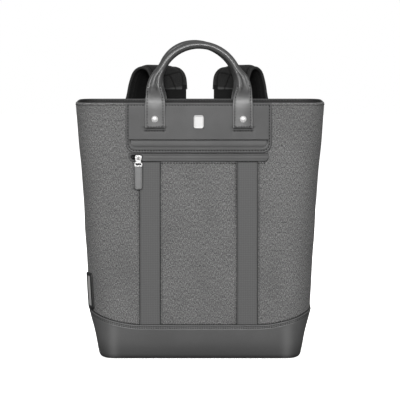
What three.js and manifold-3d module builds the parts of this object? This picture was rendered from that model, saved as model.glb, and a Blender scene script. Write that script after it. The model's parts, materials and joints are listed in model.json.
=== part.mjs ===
// Convertible backpack: a tall fabric tote on a moulded leather base, with a leather yoke and a
// pocket zip on the front, two rolled handles and two padded shoulder straps behind.
// Millimetres, +Z up, front towards -Y, origin on the ground under the middle of the base.

import * as THREE from 'three';
import { mergeVertices } from 'three/addons/utils/BufferGeometryUtils.js';
import Module from 'manifold-3d';

const wasm = await Module();
wasm.setup();

const { clamp, degToRad, lerp, smoothstep } = THREE.MathUtils;

// Clearances between pieces that touch
const GAP = 0.3;
const LINING_GAP = 0.6;

// Body
const BODY_HEIGHT = 399;
const BACK_RISE = 6;
const BASE_WIDTH = 313;
const RIM_WIDTH = 391;
const BASE_DEPTH = 140;
const RIM_DEPTH = 124;
const BASE_CORNER = 24;
const BODY_CORNER = 46;
const BASE_ROUND = 7;
const PANEL_BULGE = 4;
const FABRIC = 2.4;
const LINING = 1;

// Leather base: its seam with the fabric is low at the front and climbs round the corners
const SEAM_HEIGHT = 53.6;
const SEAM_CLIMB = 25;
const SEAM_LEVEL_RUN = 92;
const SEAM_CLIMB_RUN = 130;
const BASE_PROUD = 0.8;
const BASE_FLOOR = 3.2;

// Walls of the side panels end on straight seams in the front and the back
const FRONT_TRIM_SHIFT = -2;
const BACK_PANEL_WIDTH = 216;

// Webbing strips on the front
const STRIP_WIDTH = 32;
const STRIP_SPACING = 151;
const STRIP_THICK = 1.2;
const STRIP_UNDERLAP = 2;

// Leather yoke with its lower band, and the flap over the pocket zip below it
const LEATHER = 1.8;
const YOKE_WIDTH = 226;
const YOKE_HEIGHT = 77.4;
const YOKE_BOTTOM = BODY_HEIGHT - YOKE_HEIGHT;
const YOKE_CORNER = 15;
const BAND_WIDTH = 215;
const BAND_INSET = 7;
const BAND_BOTTOM = YOKE_BOTTOM + BAND_INSET;
const BAND_HEIGHT = 13.8;
const BAND_CORNER = 9.5;
const BAND_TOP_CORNER = 1;
const BAND_THICK = 1.2;
const FLAP_WIDTH = 216;
const FLAP_HEIGHT = 12.8;
const FLAP_CORNER = 6;

// Pocket zip's end, slider and pull
const ZIP_WINDOW_WIDTH = 18;
const ZIP_WINDOW_HEIGHT = 8;
const ZIP_WINDOW_INSET = 2.5;
const ZIP_TAPE_THICK = 0.7;
const SLIDER_WIDTH = 11;
const SLIDER_HEIGHT = 7;
const SLIDER_THICK = 3.4;
const LINK_WIDTH = 12.5;
const LINK_HEIGHT = 16;
const LINK_THICK = 1.5;
const LINK_SLOT_WIDTH = 8;
const LINK_SLOT_HEIGHT = 3;
const LINK_RIM = 2;
const LINK_FOOT_CORNER = 3;
const LINK_HEAD_CORNER = 4;
const SLOT_CORNER = 1;
const PULL_WIDTH = 11.5;
const PULL_HEIGHT = 37;
const PULL_THICK = 2.8;
const PULL_FOOT_CORNER = 4;
const PULL_HEAD_CORNER = 2;

// Plain plates
const EMBLEM_WIDTH = 16;
const EMBLEM_HEIGHT = 21;
const EMBLEM_CORNER = 4;
const EMBLEM_THICK = 1.4;
const EMBLEM_DROP = 29.3;
const EMBLEM_CENTRE = BODY_HEIGHT - EMBLEM_DROP;
const PLATE_WIDTH = 24;
const PLATE_HEIGHT = 58;
const PLATE_CORNER = 5;
const PLATE_RIM = 3;
const PLATE_THICK = 2;
const PLATE_FACE_THICK = 1.3;
const PLATE_CENTRE = 104;
const PLATE_TURN = 68;

// Rolled handles
const ARCH_RADIUS = 63;
const ARCH_RISE = 26.7;
const ARCH_CENTRE = BODY_HEIGHT + ARCH_RISE;
const TUBE = 12;
const TAB_WIDTH = 31;
const TAB_THICK = 3;
const TAB_DROP = 39.5;
const TAB_BOTTOM = BODY_HEIGHT - TAB_DROP;
const TAB_CLEARANCE = 0.6;
const NECK_LENGTH = 56;
const LEG_TOE = 4.2;
const HANDLE_LEAN = 8;
const HANDLE_SHIFT = -1.6;
const BACK_HANDLE_SWAY = -7.5;
const RIVET_DIAMETER = 10;
const RIVET_THICK = 1.8;
const RIVET_HEIGHT = 14.5;
const RIVET_EDGE = 0.6;

// Shoulder straps
const STRAP_WIDTH = 60;
const STRAP_THICK = 11;
const STRAP_ROOT_X = 50;
const STRAP_RISE = 50.5;
const STRAP_DROP_SHARE = 0.7;
const STRAP_DROP = STRAP_DROP_SHARE * BODY_HEIGHT;
const STRAP_SPREAD = 51;
const STRAP_STAND = 56;
const STRAP_START_STAND = 12;
const STRAP_SPLAY = { left: 1, right: 0.8 };
const ROOT_WIDTH = 55;
const ROOT_THICK = 3;
const ROOT_DROP = 69;
const ROOT_BOTTOM = BODY_HEIGHT - ROOT_DROP;
const ROOT_SEWN = 26;
const BUCKLE_WIDTH = 36;
const BUCKLE_HEIGHT = 24;
const BUCKLE_THICK = 4;
const BUCKLE_BAR = 4;
const BUCKLE_CORNER = 4;
const WEB_WIDTH = 25;
const WEB_THICK = 1.6;
const ANCHOR_WIDTH = 30;
const ANCHOR_BOTTOM = 46;
const ANCHOR_HEIGHT = 34;
const ANCHOR_THICK = 3;
const ANCHOR_X = 124;

// Body sections: height is a share of the body's height, flare of the way from base to rim width,
// taper of the way from base to rim depth, corner of the way from base to body corner radius
const SECTIONS = [
  { height: 0.0, flare: 0.0, taper: 0.0, corner: 0.0 },
  { height: 0.035, flare: 0.07, taper: 0.0, corner: 0.05 },
  { height: 0.083, flare: 0.16, taper: -0.05, corner: 0.35 },
  { height: 0.13, flare: 0.29, taper: -0.1, corner: 0.7 },
  { height: 0.176, flare: 0.45, taper: -0.1, corner: 1.0 },
  { height: 0.27, flare: 0.51, taper: -0.05, corner: 1.0 },
  { height: 0.455, flare: 0.6, taper: 0.15, corner: 1.0 },
  { height: 0.645, flare: 0.71, taper: 0.45, corner: 0.9 },
  { height: 0.83, flare: 0.88, taper: 0.8, corner: 0.75 },
  { height: 1.0, flare: 1.0, taper: 1.0, corner: 0.65 },
];

// Rows of facets, as shares of the height that they cross
const ROUND_ROWS = [0, 0.1, 0.35, 1];
const BASE_ROWS = [0.25, 0.5, 0.75, 1];
const WALL_ROWS = [0, 0.08, 0.2, 0.38, 0.58, 0.8, 1];
const TRIM_ROWS = [0, 0.25, 0.5, 0.75, 1];
const STRIP_ROWS = [0, 0.08, 0.18, 0.3, 0.42, 0.55, 0.68, 0.84, 1];
const WALL_COLUMNS = [-1, -0.5, 0, 0.5, 1];
const SHEET_COLUMNS = [-1, -0.7, -0.4, 0, 0.4, 0.7, 1];
const CORNER_STEPS = 5;

// Handle's neck, from flat tab to round tube: along is a share of its length, width of the way
// from tube to tab width, round of the way from tab thickness to tube
const NECK = [
  { along: 0.0, width: 1.0, round: 0.0 },
  { along: 0.125, width: 0.95, round: 0.07 },
  { along: 0.25, width: 0.83, round: 0.22 },
  { along: 0.375, width: 0.74, round: 0.44 },
  { along: 0.5, width: 0.63, round: 0.67 },
  { along: 0.69, width: 0.45, round: 0.83 },
  { along: 0.86, width: 0.13, round: 1.0 },
  { along: 1.0, width: 0.0, round: 1.0 },
];
const TUBE_ROWS = [0.17, 0.33, 0.5, 0.67, 0.83, 1];
const FLAT_TAB = 7;
const ROUND_TUBE = 2;
const FLAT_STRAP = 5;
const FLAT_WEB = 8;

// Strap's path from its root over the arch and down to its lower end: out is a share of the
// spread, stand of the stand-off, up of the rise above the rim, down of the drop below it,
// turn is the angle of its width to the back panel in degrees, wide a share of the width
const STRAP_PATH = [
  { out: 0.0, stand: 0.0, up: 0.34, down: 0.0, turn: 0, wide: 0.98 },
  { out: 0.06, stand: 0.1, up: 0.68, down: 0.0, turn: 10, wide: 1.0 },
  { out: 0.26, stand: 0.28, up: 0.94, down: 0.0, turn: 28, wide: 1.0 },
  { out: 0.52, stand: 0.5, up: 1.0, down: 0.0, turn: 42, wide: 1.0 },
  { out: 0.75, stand: 0.7, up: 0.87, down: 0.0, turn: 45, wide: 1.0 },
  { out: 0.89, stand: 0.84, up: 0.53, down: 0.0, turn: 45, wide: 1.0 },
  { out: 1.0, stand: 0.95, up: 0.0, down: 0.0, turn: 44, wide: 1.0 },
  { out: 1.2, stand: 0.95, up: 0.0, down: 0.19, turn: 36, wide: 1.0 },
  { out: 1.36, stand: 0.8, up: 0.0, down: 0.41, turn: 26, wide: 0.98 },
  { out: 1.44, stand: 0.58, up: 0.0, down: 0.62, turn: 16, wide: 0.92 },
  { out: 1.47, stand: 0.36, up: 0.0, down: 0.82, turn: 8, wide: 0.84 },
  { out: 1.48, stand: 0.2, up: 0.0, down: 1.0, turn: 0, wide: 0.72 },
];
const STRAP_STEPS = 26;
const RING_SIDES = 10;
const RIVET_SIDES = 12;

const FINISHES = {
  fabric: { color: 0x707072, roughness: 0.95, metalness: 0 },
  webbing: { color: 0x68686a, roughness: 0.85, metalness: 0 },
  leather: { color: 0x5c5d5f, roughness: 0.5, metalness: 0 },
  lining: { color: 0x2b2c2e, roughness: 0.9, metalness: 0 },
  strap: { color: 0x2a2b2d, roughness: 0.9, metalness: 0 },
  metal: { color: 0xc9cacc, roughness: 0.3, metalness: 1 },
  plastic: { color: 0x1c1d1f, roughness: 0.5, metalness: 0 },
};

const backpack = new THREE.Group();

function addPiece(name, geometry, finish) {
  const mesh = new THREE.Mesh(geometry, new THREE.MeshStandardMaterial(FINISHES[finish]));
  mesh.name = name;
  backpack.add(mesh);
}

// Closed meshes from points

function signedVolume(points, triangles) {
  let volume = 0;
  for (const [a, b, c] of triangles) {
    volume += points[a].dot(new THREE.Vector3().crossVectors(points[b], points[c])) / 6;
  }
  return volume;
}

function closedGeometry(points, triangles) {
  const outward = signedVolume(points, triangles) > 0;
  const index = triangles.flatMap(([a, b, c]) => (outward ? [a, b, c] : [a, c, b]));
  const geometry = new THREE.BufferGeometry();
  const position = points.flatMap((point) => point.toArray());
  geometry.setAttribute('position', new THREE.Float32BufferAttribute(position, 3));
  geometry.setIndex(index);
  return geometry;
}

// Rings of equally many points become a skin, closed by a fan at each end
function ringGeometry(rings) {
  const sides = rings[0].length;
  const points = rings.flat();
  const triangles = [];
  for (let ring = 0; ring + 1 < rings.length; ring += 1) {
    for (let k = 0; k < sides; k += 1) {
      const a = ring * sides + k;
      const b = ring * sides + (k + 1) % sides;
      triangles.push([a, b, b + sides], [a, b + sides, a + sides]);
    }
  }
  const ends = [[0, true], [(rings.length - 1) * sides, false]];
  for (const [start, flip] of ends) {
    const centre = new THREE.Vector3();
    for (let k = 0; k < sides; k += 1) {
      centre.addScaledVector(points[start + k], 1 / sides);
    }
    points.push(centre);
    for (let k = 0; k < sides; k += 1) {
      const a = start + k;
      const b = start + (k + 1) % sides;
      triangles.push(flip ? [points.length - 1, b, a] : [points.length - 1, a, b]);
    }
  }
  return closedGeometry(points, triangles);
}

// Two sheets of points, grid[column][row], become one slab
function slabGeometry(outer, inner) {
  const columns = outer.length;
  const rows = outer[0].length;
  const rings = [];
  for (let column = 0; column < columns; column += 1) {
    rings.push([...outer[column], ...[...inner[column]].reverse()]);
  }
  const points = rings.flat();
  const sides = 2 * rows;
  const triangles = [];
  for (let column = 0; column + 1 < columns; column += 1) {
    for (let k = 0; k < sides; k += 1) {
      const a = column * sides + k;
      const b = column * sides + (k + 1) % sides;
      triangles.push([a, b, b + sides], [a, b + sides, a + sides]);
    }
  }
  const ends = [[0, true], [(columns - 1) * sides, false]];
  for (const [start, flip] of ends) {
    for (let row = 0; row + 1 < rows; row += 1) {
      const [a, b] = [start + row, start + row + 1];
      const [c, d] = [start + sides - 2 - row, start + sides - 1 - row];
      const faces = flip ? [[a, c, b], [a, d, c]] : [[a, b, c], [a, c, d]];
      triangles.push(...faces);
    }
  }
  return closedGeometry(points, triangles);
}

// Solids that cut and join

function solidOf(geometry) {
  const bare = geometry.clone();
  bare.deleteAttribute('normal');
  bare.deleteAttribute('uv');
  const merged = mergeVertices(bare, 1e-4);
  const vertProperties = new Float32Array(merged.getAttribute('position').array);
  const triVerts = new Uint32Array(merged.getIndex().array);
  return new wasm.Manifold(new wasm.Mesh({ numProp: 3, vertProperties, triVerts }));
}

function geometryOf(solid) {
  const mesh = solid.getMesh();
  const geometry = new THREE.BufferGeometry();
  geometry.setAttribute('position', new THREE.BufferAttribute(mesh.vertProperties, 3));
  geometry.setIndex(new THREE.BufferAttribute(mesh.triVerts, 1));
  return geometry;
}

// Seams between the walls, as distances from the middle of the front and of the back
const frontSeam = STRIP_SPACING / 2 + STRIP_WIDTH / 2 - STRIP_UNDERLAP - Math.abs(FRONT_TRIM_SHIFT);
const backSeam = BACK_PANEL_WIDTH / 2;

// Body surface: run is the way round the wall from the middle of the front, positive to +X

function sectionAt(z) {
  const share = clamp(z / BODY_HEIGHT, 0, 1);
  const above = Math.max(1, SECTIONS.findIndex((row) => row.height >= share));
  const low = SECTIONS[above - 1];
  const high = SECTIONS[above];
  const way = (share - low.height) / (high.height - low.height);
  const halfWidth = lerp(BASE_WIDTH, RIM_WIDTH, lerp(low.flare, high.flare, way)) / 2;
  const halfDepth = lerp(BASE_DEPTH, RIM_DEPTH, lerp(low.taper, high.taper, way)) / 2;
  const corner = lerp(BASE_CORNER, BODY_CORNER, lerp(low.corner, high.corner, way));
  const flat = halfWidth - corner;
  const arc = corner * Math.PI / 2;
  const flank = 2 * (halfDepth - corner);
  const half = 2 * flat + 2 * arc + flank;
  return { halfWidth, halfDepth, corner, flat, arc, flank, half };
}

function underInset(z) {
  const below = clamp(BASE_ROUND - z, 0, BASE_ROUND);
  return BASE_ROUND - Math.sqrt(BASE_ROUND ** 2 - below ** 2);
}

function bulgeAt(x, z, flat) {
  const rise = Math.sin(Math.PI * clamp(z / BODY_HEIGHT, 0, 1));
  return PANEL_BULGE * rise * (1 - clamp(x / flat, -1, 1) ** 2) ** 2;
}

function bodyPoint(run, z, offset) {
  const { halfWidth, halfDepth, corner, flat, arc, flank, half } = sectionAt(z);
  const proud = offset - underInset(z);
  const side = run < 0 ? -1 : 1;
  const way = Math.abs(run);
  const facing = way < half / 2 ? -1 : 1;
  const fromMiddle = facing < 0 ? way : half - way;
  if (fromMiddle <= flat) {
    const y = facing * (halfDepth + proud + bulgeAt(fromMiddle, z, flat));
    return new THREE.Vector3(side * fromMiddle, y, z);
  }
  if (fromMiddle <= flat + arc) {
    const angle = (fromMiddle - flat) / corner;
    const x = flat + (corner + proud) * Math.sin(angle);
    const y = facing * (halfDepth - corner + (corner + proud) * Math.cos(angle));
    return new THREE.Vector3(side * x, y, z);
  }
  const y = facing * (flank / 2 - (fromMiddle - flat - arc));
  return new THREE.Vector3(side * (halfWidth + proud), y, z);
}

// Run of a point that lies off from the middle of the back
function backRun(off, z) {
  const { half } = sectionAt(z);
  return Math.sign(off || 1) * (half - Math.abs(off));
}

function seamHeight(run) {
  const { half } = sectionAt(SEAM_HEIGHT);
  const fromMiddle = Math.min(Math.abs(run), half - Math.abs(run));
  return SEAM_HEIGHT + SEAM_CLIMB * smoothstep(fromMiddle - SEAM_LEVEL_RUN, 0, SEAM_CLIMB_RUN);
}

function rimHeight(run) {
  const { y } = bodyPoint(run, BODY_HEIGHT, 0);
  return BODY_HEIGHT + BACK_RISE * smoothstep(y, -RIM_DEPTH / 2, RIM_DEPTH / 2);
}

// Runs of both corners' facets, front corner first
function cornerRuns(z) {
  const { flat, arc, flank } = sectionAt(z);
  const shares = Array.from({ length: CORNER_STEPS + 1 }, (_, k) => k / CORNER_STEPS);
  const front = shares.map((share) => flat + share * arc);
  return [...front, ...front.map((run) => run + arc + flank)];
}

// Runs of a whole loop, from the middle of the front round by +X, with columns on the seams
function loopRuns(z) {
  const { flat, half } = sectionAt(z);
  const ahead = [0, frontSeam / 2, frontSeam, (frontSeam + flat) / 2];
  const behind = [0, backSeam / 2, backSeam, (backSeam + flat) / 2];
  const right = [...ahead, ...cornerRuns(z), ...behind.reverse().map((off) => half - off)];
  const left = right.slice(1, -1).map((run) => -run).reverse();
  return [...right, ...left];
}

// Edges that a column of facets ends on: height gives the edge's z at a run, which is taken
// from the columns' runs at the level
const levelEdge = (z) => ({ level: z, height: () => z });
const seamEdge = { level: SEAM_HEIGHT, height: seamHeight };
const wallEdge = { level: SEAM_HEIGHT, height: (run) => seamHeight(run) + GAP };
const rimEdge = { level: BODY_HEIGHT, height: rimHeight };

// Grid of points over the body: runsAt gives the columns' runs at a height, bottom and top are
// the edges that it spans, rows the shares of that span, offset the way out from the surface
function surfaceGrid(runsAt, bottom, top, rows, offset) {
  const low = runsAt(bottom.level).map(bottom.height);
  const high = runsAt(top.level).map(top.height);
  return low.map((start, column) => rows.map((share) => {
    const z = lerp(start, high[column], share);
    return bodyPoint(runsAt(z)[column], z, offset);
  }));
}

function surfaceSlab(runsAt, bottom, top, rows, inner, outer) {
  const outside = surfaceGrid(runsAt, bottom, top, rows, outer);
  const inside = surfaceGrid(runsAt, bottom, top, rows, inner);
  return slabGeometry(outside, inside);
}

function surfaceRings(bottom, top, rows, offset) {
  const grid = surfaceGrid(loopRuns, bottom, top, rows, offset);
  return rows.map((_, row) => grid.map((column) => column[row]));
}

// Leather base: cup with a rounded lower edge and a flat floor

const roundTop = levelEdge(BASE_ROUND);

function buildBase() {
  const wallIn = -FABRIC;
  const rings = [
    ...surfaceRings(levelEdge(0), roundTop, ROUND_ROWS, BASE_PROUD),
    ...surfaceRings(roundTop, seamEdge, BASE_ROWS, BASE_PROUD),
    ...surfaceRings(roundTop, seamEdge, BASE_ROWS, wallIn).reverse(),
    ...surfaceRings(levelEdge(BASE_FLOOR), roundTop, [0, 1], wallIn).reverse(),
  ];
  addPiece('base_cup', ringGeometry(rings), 'leather');
}

// Fabric walls: front, back and two sides that meet them on straight seams

function buildWalls() {
  const frontRuns = () => WALL_COLUMNS.map((share) => share * frontSeam);
  const front = surfaceSlab(frontRuns, wallEdge, rimEdge, WALL_ROWS, -FABRIC, 0);
  addPiece('front_panel', front, 'fabric');

  const backRuns = (z) => WALL_COLUMNS.map((share) => backRun(share * backSeam, z));
  const back = surfaceSlab(backRuns, wallEdge, rimEdge, WALL_ROWS, -FABRIC, 0);
  addPiece('back_panel', back, 'fabric');

  for (const [name, side] of [['left', -1], ['right', 1]]) {
    const runsAt = (z) => {
      const { flat, half } = sectionAt(z);
      const ahead = [frontSeam + GAP, (frontSeam + flat) / 2];
      const behind = [half - (backSeam + flat) / 2, half - backSeam - GAP];
      return [...ahead, ...cornerRuns(z), ...behind].map((run) => side * run);
    };
    const wall = surfaceSlab(runsAt, wallEdge, rimEdge, WALL_ROWS, -FABRIC, 0);
    addPiece(`side_panel_${name}`, wall, 'fabric');
  }
}

function buildLining() {
  const outer = -FABRIC - LINING_GAP;
  const inner = outer - LINING;
  const floorUnder = levelEdge(BASE_FLOOR + GAP);
  const floorTop = levelEdge(BASE_FLOOR + GAP + LINING);
  const rings = [
    ...surfaceRings(floorUnder, roundTop, [0, 1], outer),
    ...surfaceRings(roundTop, seamEdge, BASE_ROWS, outer),
    ...surfaceRings(seamEdge, rimEdge, WALL_ROWS.slice(1), outer),
    ...surfaceRings(seamEdge, rimEdge, WALL_ROWS.slice(1), inner).reverse(),
    ...surfaceRings(roundTop, seamEdge, BASE_ROWS, inner).reverse(),
    ...surfaceRings(floorTop, roundTop, [0, 1], inner).reverse(),
  ];
  addPiece('lining', ringGeometry(rings), 'lining');
}

// Outlines on the front, drawn in x and z

function roundedOutline(centreX, bottom, width, height, lower, upper) {
  const [left, right] = [centreX - width / 2, centreX + width / 2];
  const top = bottom + height;
  const shape = new THREE.Shape();
  shape.moveTo(left + lower, bottom);
  shape.lineTo(right - lower, bottom);
  shape.absarc(right - lower, bottom + lower, lower, -Math.PI / 2, 0);
  if (upper > 0) {
    shape.absarc(right - upper, top - upper, upper, 0, Math.PI / 2);
    shape.absarc(left + upper, top - upper, upper, Math.PI / 2, Math.PI);
  } else {
    shape.lineTo(right, top);
    shape.lineTo(left, top);
  }
  shape.absarc(left + lower, bottom + lower, lower, Math.PI, 1.5 * Math.PI);
  shape.closePath();
  return shape;
}

const OUTLINE_STEPS = 3;
const PRISM_REACH = 200;

function outlinePrism(shape) {
  const settings = { depth: PRISM_REACH, bevelEnabled: false, curveSegments: OUTLINE_STEPS };
  const prism = new THREE.ExtrudeGeometry(shape, settings);
  return solidOf(prism.rotateX(Math.PI / 2));
}

// Sheet on the front of the body with the given outline, as a solid
function frontSheet(shape, inner, outer) {
  const box = new THREE.Box2().setFromPoints(shape.getPoints(OUTLINE_STEPS));
  box.expandByScalar(1);
  const middle = (box.min.x + box.max.x) / 2;
  const half = (box.max.x - box.min.x) / 2;
  const runsAt = () => SHEET_COLUMNS.map((share) => middle + share * half);
  const [bottom, top] = [levelEdge(box.min.y), levelEdge(box.max.y)];
  const slab = surfaceSlab(runsAt, bottom, top, TRIM_ROWS, inner, outer);
  return solidOf(slab).intersect(outlinePrism(shape));
}

// Flat plate parallel to the front, its back as far out as the offset puts it at x and z
function flatPlate(shape, thickness, x, z, offset) {
  const settings = { depth: thickness, bevelEnabled: false, curveSegments: OUTLINE_STEPS };
  const plate = new THREE.ExtrudeGeometry(shape, settings).rotateX(Math.PI / 2);
  plate.translate(0, bodyPoint(x, z, offset).y, 0);
  return plate;
}

function buildStrips() {
  for (const [name, side] of [['left', -1], ['right', 1]]) {
    const centre = FRONT_TRIM_SHIFT + side * STRIP_SPACING / 2;
    const runsAt = () => [-1, 0, 1].map((share) => centre + share * STRIP_WIDTH / 2);
    const top = levelEdge(YOKE_BOTTOM - FLAP_HEIGHT - 2 * GAP);
    const strip = surfaceSlab(runsAt, wallEdge, top, STRIP_ROWS, GAP, GAP + STRIP_THICK);
    addPiece(`strip_${name}`, strip, 'webbing');
  }
}

const yokeOut = GAP + LEATHER;

function buildYoke() {
  const centre = FRONT_TRIM_SHIFT;
  const yoke = roundedOutline(centre, YOKE_BOTTOM, YOKE_WIDTH, YOKE_HEIGHT, YOKE_CORNER, 0);
  const window = roundedOutline(
    centre, BAND_BOTTOM, BAND_WIDTH, BAND_HEIGHT, BAND_CORNER, BAND_TOP_CORNER,
  );
  const band = roundedOutline(
    centre,
    BAND_BOTTOM + GAP,
    BAND_WIDTH - 2 * GAP,
    BAND_HEIGHT - 2 * GAP,
    BAND_CORNER - GAP,
    BAND_TOP_CORNER,
  );
  const opened = frontSheet(yoke, GAP, yokeOut).subtract(outlinePrism(window));
  addPiece('front_yoke', geometryOf(opened), 'leather');
  addPiece('yoke_band', geometryOf(frontSheet(band, GAP, GAP + BAND_THICK)), 'leather');
}

// Pocket zip: flap with a window at its left end, the dark tape in it, slider, link and pull

const flapBottom = YOKE_BOTTOM - GAP - FLAP_HEIGHT;
const windowX = FRONT_TRIM_SHIFT - FLAP_WIDTH / 2 + ZIP_WINDOW_INSET + ZIP_WINDOW_WIDTH / 2;
const windowBottom = flapBottom + (FLAP_HEIGHT - ZIP_WINDOW_HEIGHT) / 2;

function buildZip() {
  const windowRound = ZIP_WINDOW_HEIGHT / 2 - GAP;
  const flap = roundedOutline(
    FRONT_TRIM_SHIFT, flapBottom, FLAP_WIDTH, FLAP_HEIGHT, FLAP_CORNER, 0,
  );
  const window = roundedOutline(
    windowX, windowBottom, ZIP_WINDOW_WIDTH, ZIP_WINDOW_HEIGHT, windowRound, windowRound,
  );
  const opened = frontSheet(flap, GAP, yokeOut).subtract(outlinePrism(window));
  addPiece('zip_band', geometryOf(opened), 'leather');

  const tape = roundedOutline(
    windowX,
    windowBottom + GAP,
    ZIP_WINDOW_WIDTH - 2 * GAP,
    ZIP_WINDOW_HEIGHT - 2 * GAP,
    windowRound - GAP,
    windowRound - GAP,
  );
  const tapeOut = GAP + ZIP_TAPE_THICK;
  addPiece('zip_tape', geometryOf(frontSheet(tape, GAP, tapeOut)), 'plastic');

  const sliderX = windowX + ZIP_WINDOW_WIDTH / 2 - GAP - SLIDER_WIDTH / 2;
  const sliderBottom = windowBottom + (ZIP_WINDOW_HEIGHT - SLIDER_HEIGHT) / 2;
  const sliderRound = windowRound - GAP;
  const slider = roundedOutline(
    sliderX, sliderBottom, SLIDER_WIDTH, SLIDER_HEIGHT, sliderRound, sliderRound,
  );
  const sliderPlate = flatPlate(slider, SLIDER_THICK, sliderX, sliderBottom, tapeOut + GAP);
  addPiece('zip_slider', sliderPlate, 'metal');

  const linkBottom = sliderBottom + SLIDER_HEIGHT - LINK_HEIGHT;
  const link = roundedOutline(
    sliderX, linkBottom, LINK_WIDTH, LINK_HEIGHT, LINK_FOOT_CORNER, LINK_HEAD_CORNER,
  );
  link.holes.push(roundedOutline(
    sliderX,
    linkBottom + LINK_RIM,
    LINK_SLOT_WIDTH,
    LINK_SLOT_HEIGHT,
    SLOT_CORNER,
    SLOT_CORNER,
  ));
  const linkIn = tapeOut + GAP + SLIDER_THICK + GAP;
  addPiece('zip_link', flatPlate(link, LINK_THICK, sliderX, sliderBottom, linkIn), 'metal');

  const pullBottom = linkBottom - GAP - PULL_HEIGHT;
  const pull = roundedOutline(
    sliderX, pullBottom, PULL_WIDTH, PULL_HEIGHT, PULL_FOOT_CORNER, PULL_HEAD_CORNER,
  );
  const pullIn = linkIn + (LINK_THICK - PULL_THICK) / 2;
  addPiece('zip_pull', flatPlate(pull, PULL_THICK, sliderX, sliderBottom, pullIn), 'leather');
}

// Plain plates: one on the yoke, one framed and wrapped round the left front corner

function buildEmblem() {
  const bottom = EMBLEM_CENTRE - EMBLEM_HEIGHT / 2;
  const outline = roundedOutline(
    FRONT_TRIM_SHIFT, bottom, EMBLEM_WIDTH, EMBLEM_HEIGHT, EMBLEM_CORNER, EMBLEM_CORNER,
  );
  const offset = yokeOut + GAP;
  const plate = frontSheet(outline, offset, offset + EMBLEM_THICK);
  addPiece('emblem_plate', geometryOf(plate), 'metal');
}

function cornerPlate(width, height, corner, inner, outer) {
  const half = width / 2;
  const straight = half - corner;
  const outward = [straight / 2, straight, straight + 0.7 * corner, half];
  const across = [...outward.map((u) => -u).reverse(), 0, ...outward];
  const runsAt = (z) => {
    const { flat, corner: radius } = sectionAt(z);
    const middle = flat + radius * degToRad(PLATE_TURN);
    return across.map((u) => -(middle + u));
  };
  const reach = across.map((u) => {
    const over = Math.max(0, Math.abs(u) - straight);
    return height / 2 - corner + Math.sqrt(Math.max(0, corner ** 2 - over ** 2));
  });
  const grid = (offset) => across.map((_, k) => TRIM_ROWS.map((share) => {
    const z = PLATE_CENTRE + lerp(-reach[k], reach[k], share);
    return bodyPoint(runsAt(z)[k], z, offset);
  }));
  return solidOf(slabGeometry(grid(outer), grid(inner)));
}

// The frame's window is cut right through, wider than the face by a gap all round
function buildSidePlate() {
  const clear = 2 * GAP;
  const cutReach = 3 * PLATE_THICK;
  const faceWidth = PLATE_WIDTH - 2 * PLATE_RIM;
  const faceHeight = PLATE_HEIGHT - 2 * PLATE_RIM;
  const faceCorner = PLATE_CORNER - PLATE_RIM;
  const whole = cornerPlate(PLATE_WIDTH, PLATE_HEIGHT, PLATE_CORNER, GAP, GAP + PLATE_THICK);
  const cut = cornerPlate(
    faceWidth + clear, faceHeight + clear, faceCorner + GAP, -cutReach, cutReach,
  );
  addPiece('side_plate_frame', geometryOf(whole.subtract(cut)), 'plastic');
  const face = cornerPlate(faceWidth, faceHeight, faceCorner, GAP, GAP + PLATE_FACE_THICK);
  addPiece('side_plate_face', geometryOf(face), 'metal');
}

// Ring round a centre: square is 2 for an oval and more for a flat strap with round edges
function ovalRing({ centre, wide, thick, width, thickness, square }) {
  const ring = [];
  const power = 2 / square;
  for (let k = 0; k < RING_SIDES; k += 1) {
    const angle = 2 * Math.PI * (k + 0.5) / RING_SIDES;
    const u = Math.sign(Math.cos(angle)) * Math.abs(Math.cos(angle)) ** power * width / 2;
    const v = Math.sign(Math.sin(angle)) * Math.abs(Math.sin(angle)) ** power * thickness / 2;
    ring.push(centre.clone().addScaledVector(wide, u).addScaledVector(thick, v));
  }
  return ring;
}

// From the handle's middle to that of a flat tab: the tube runs on along the tab's inner edge
const tabX = ARCH_RADIUS - LEG_TOE + (TAB_WIDTH - TUBE) / 2;

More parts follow.
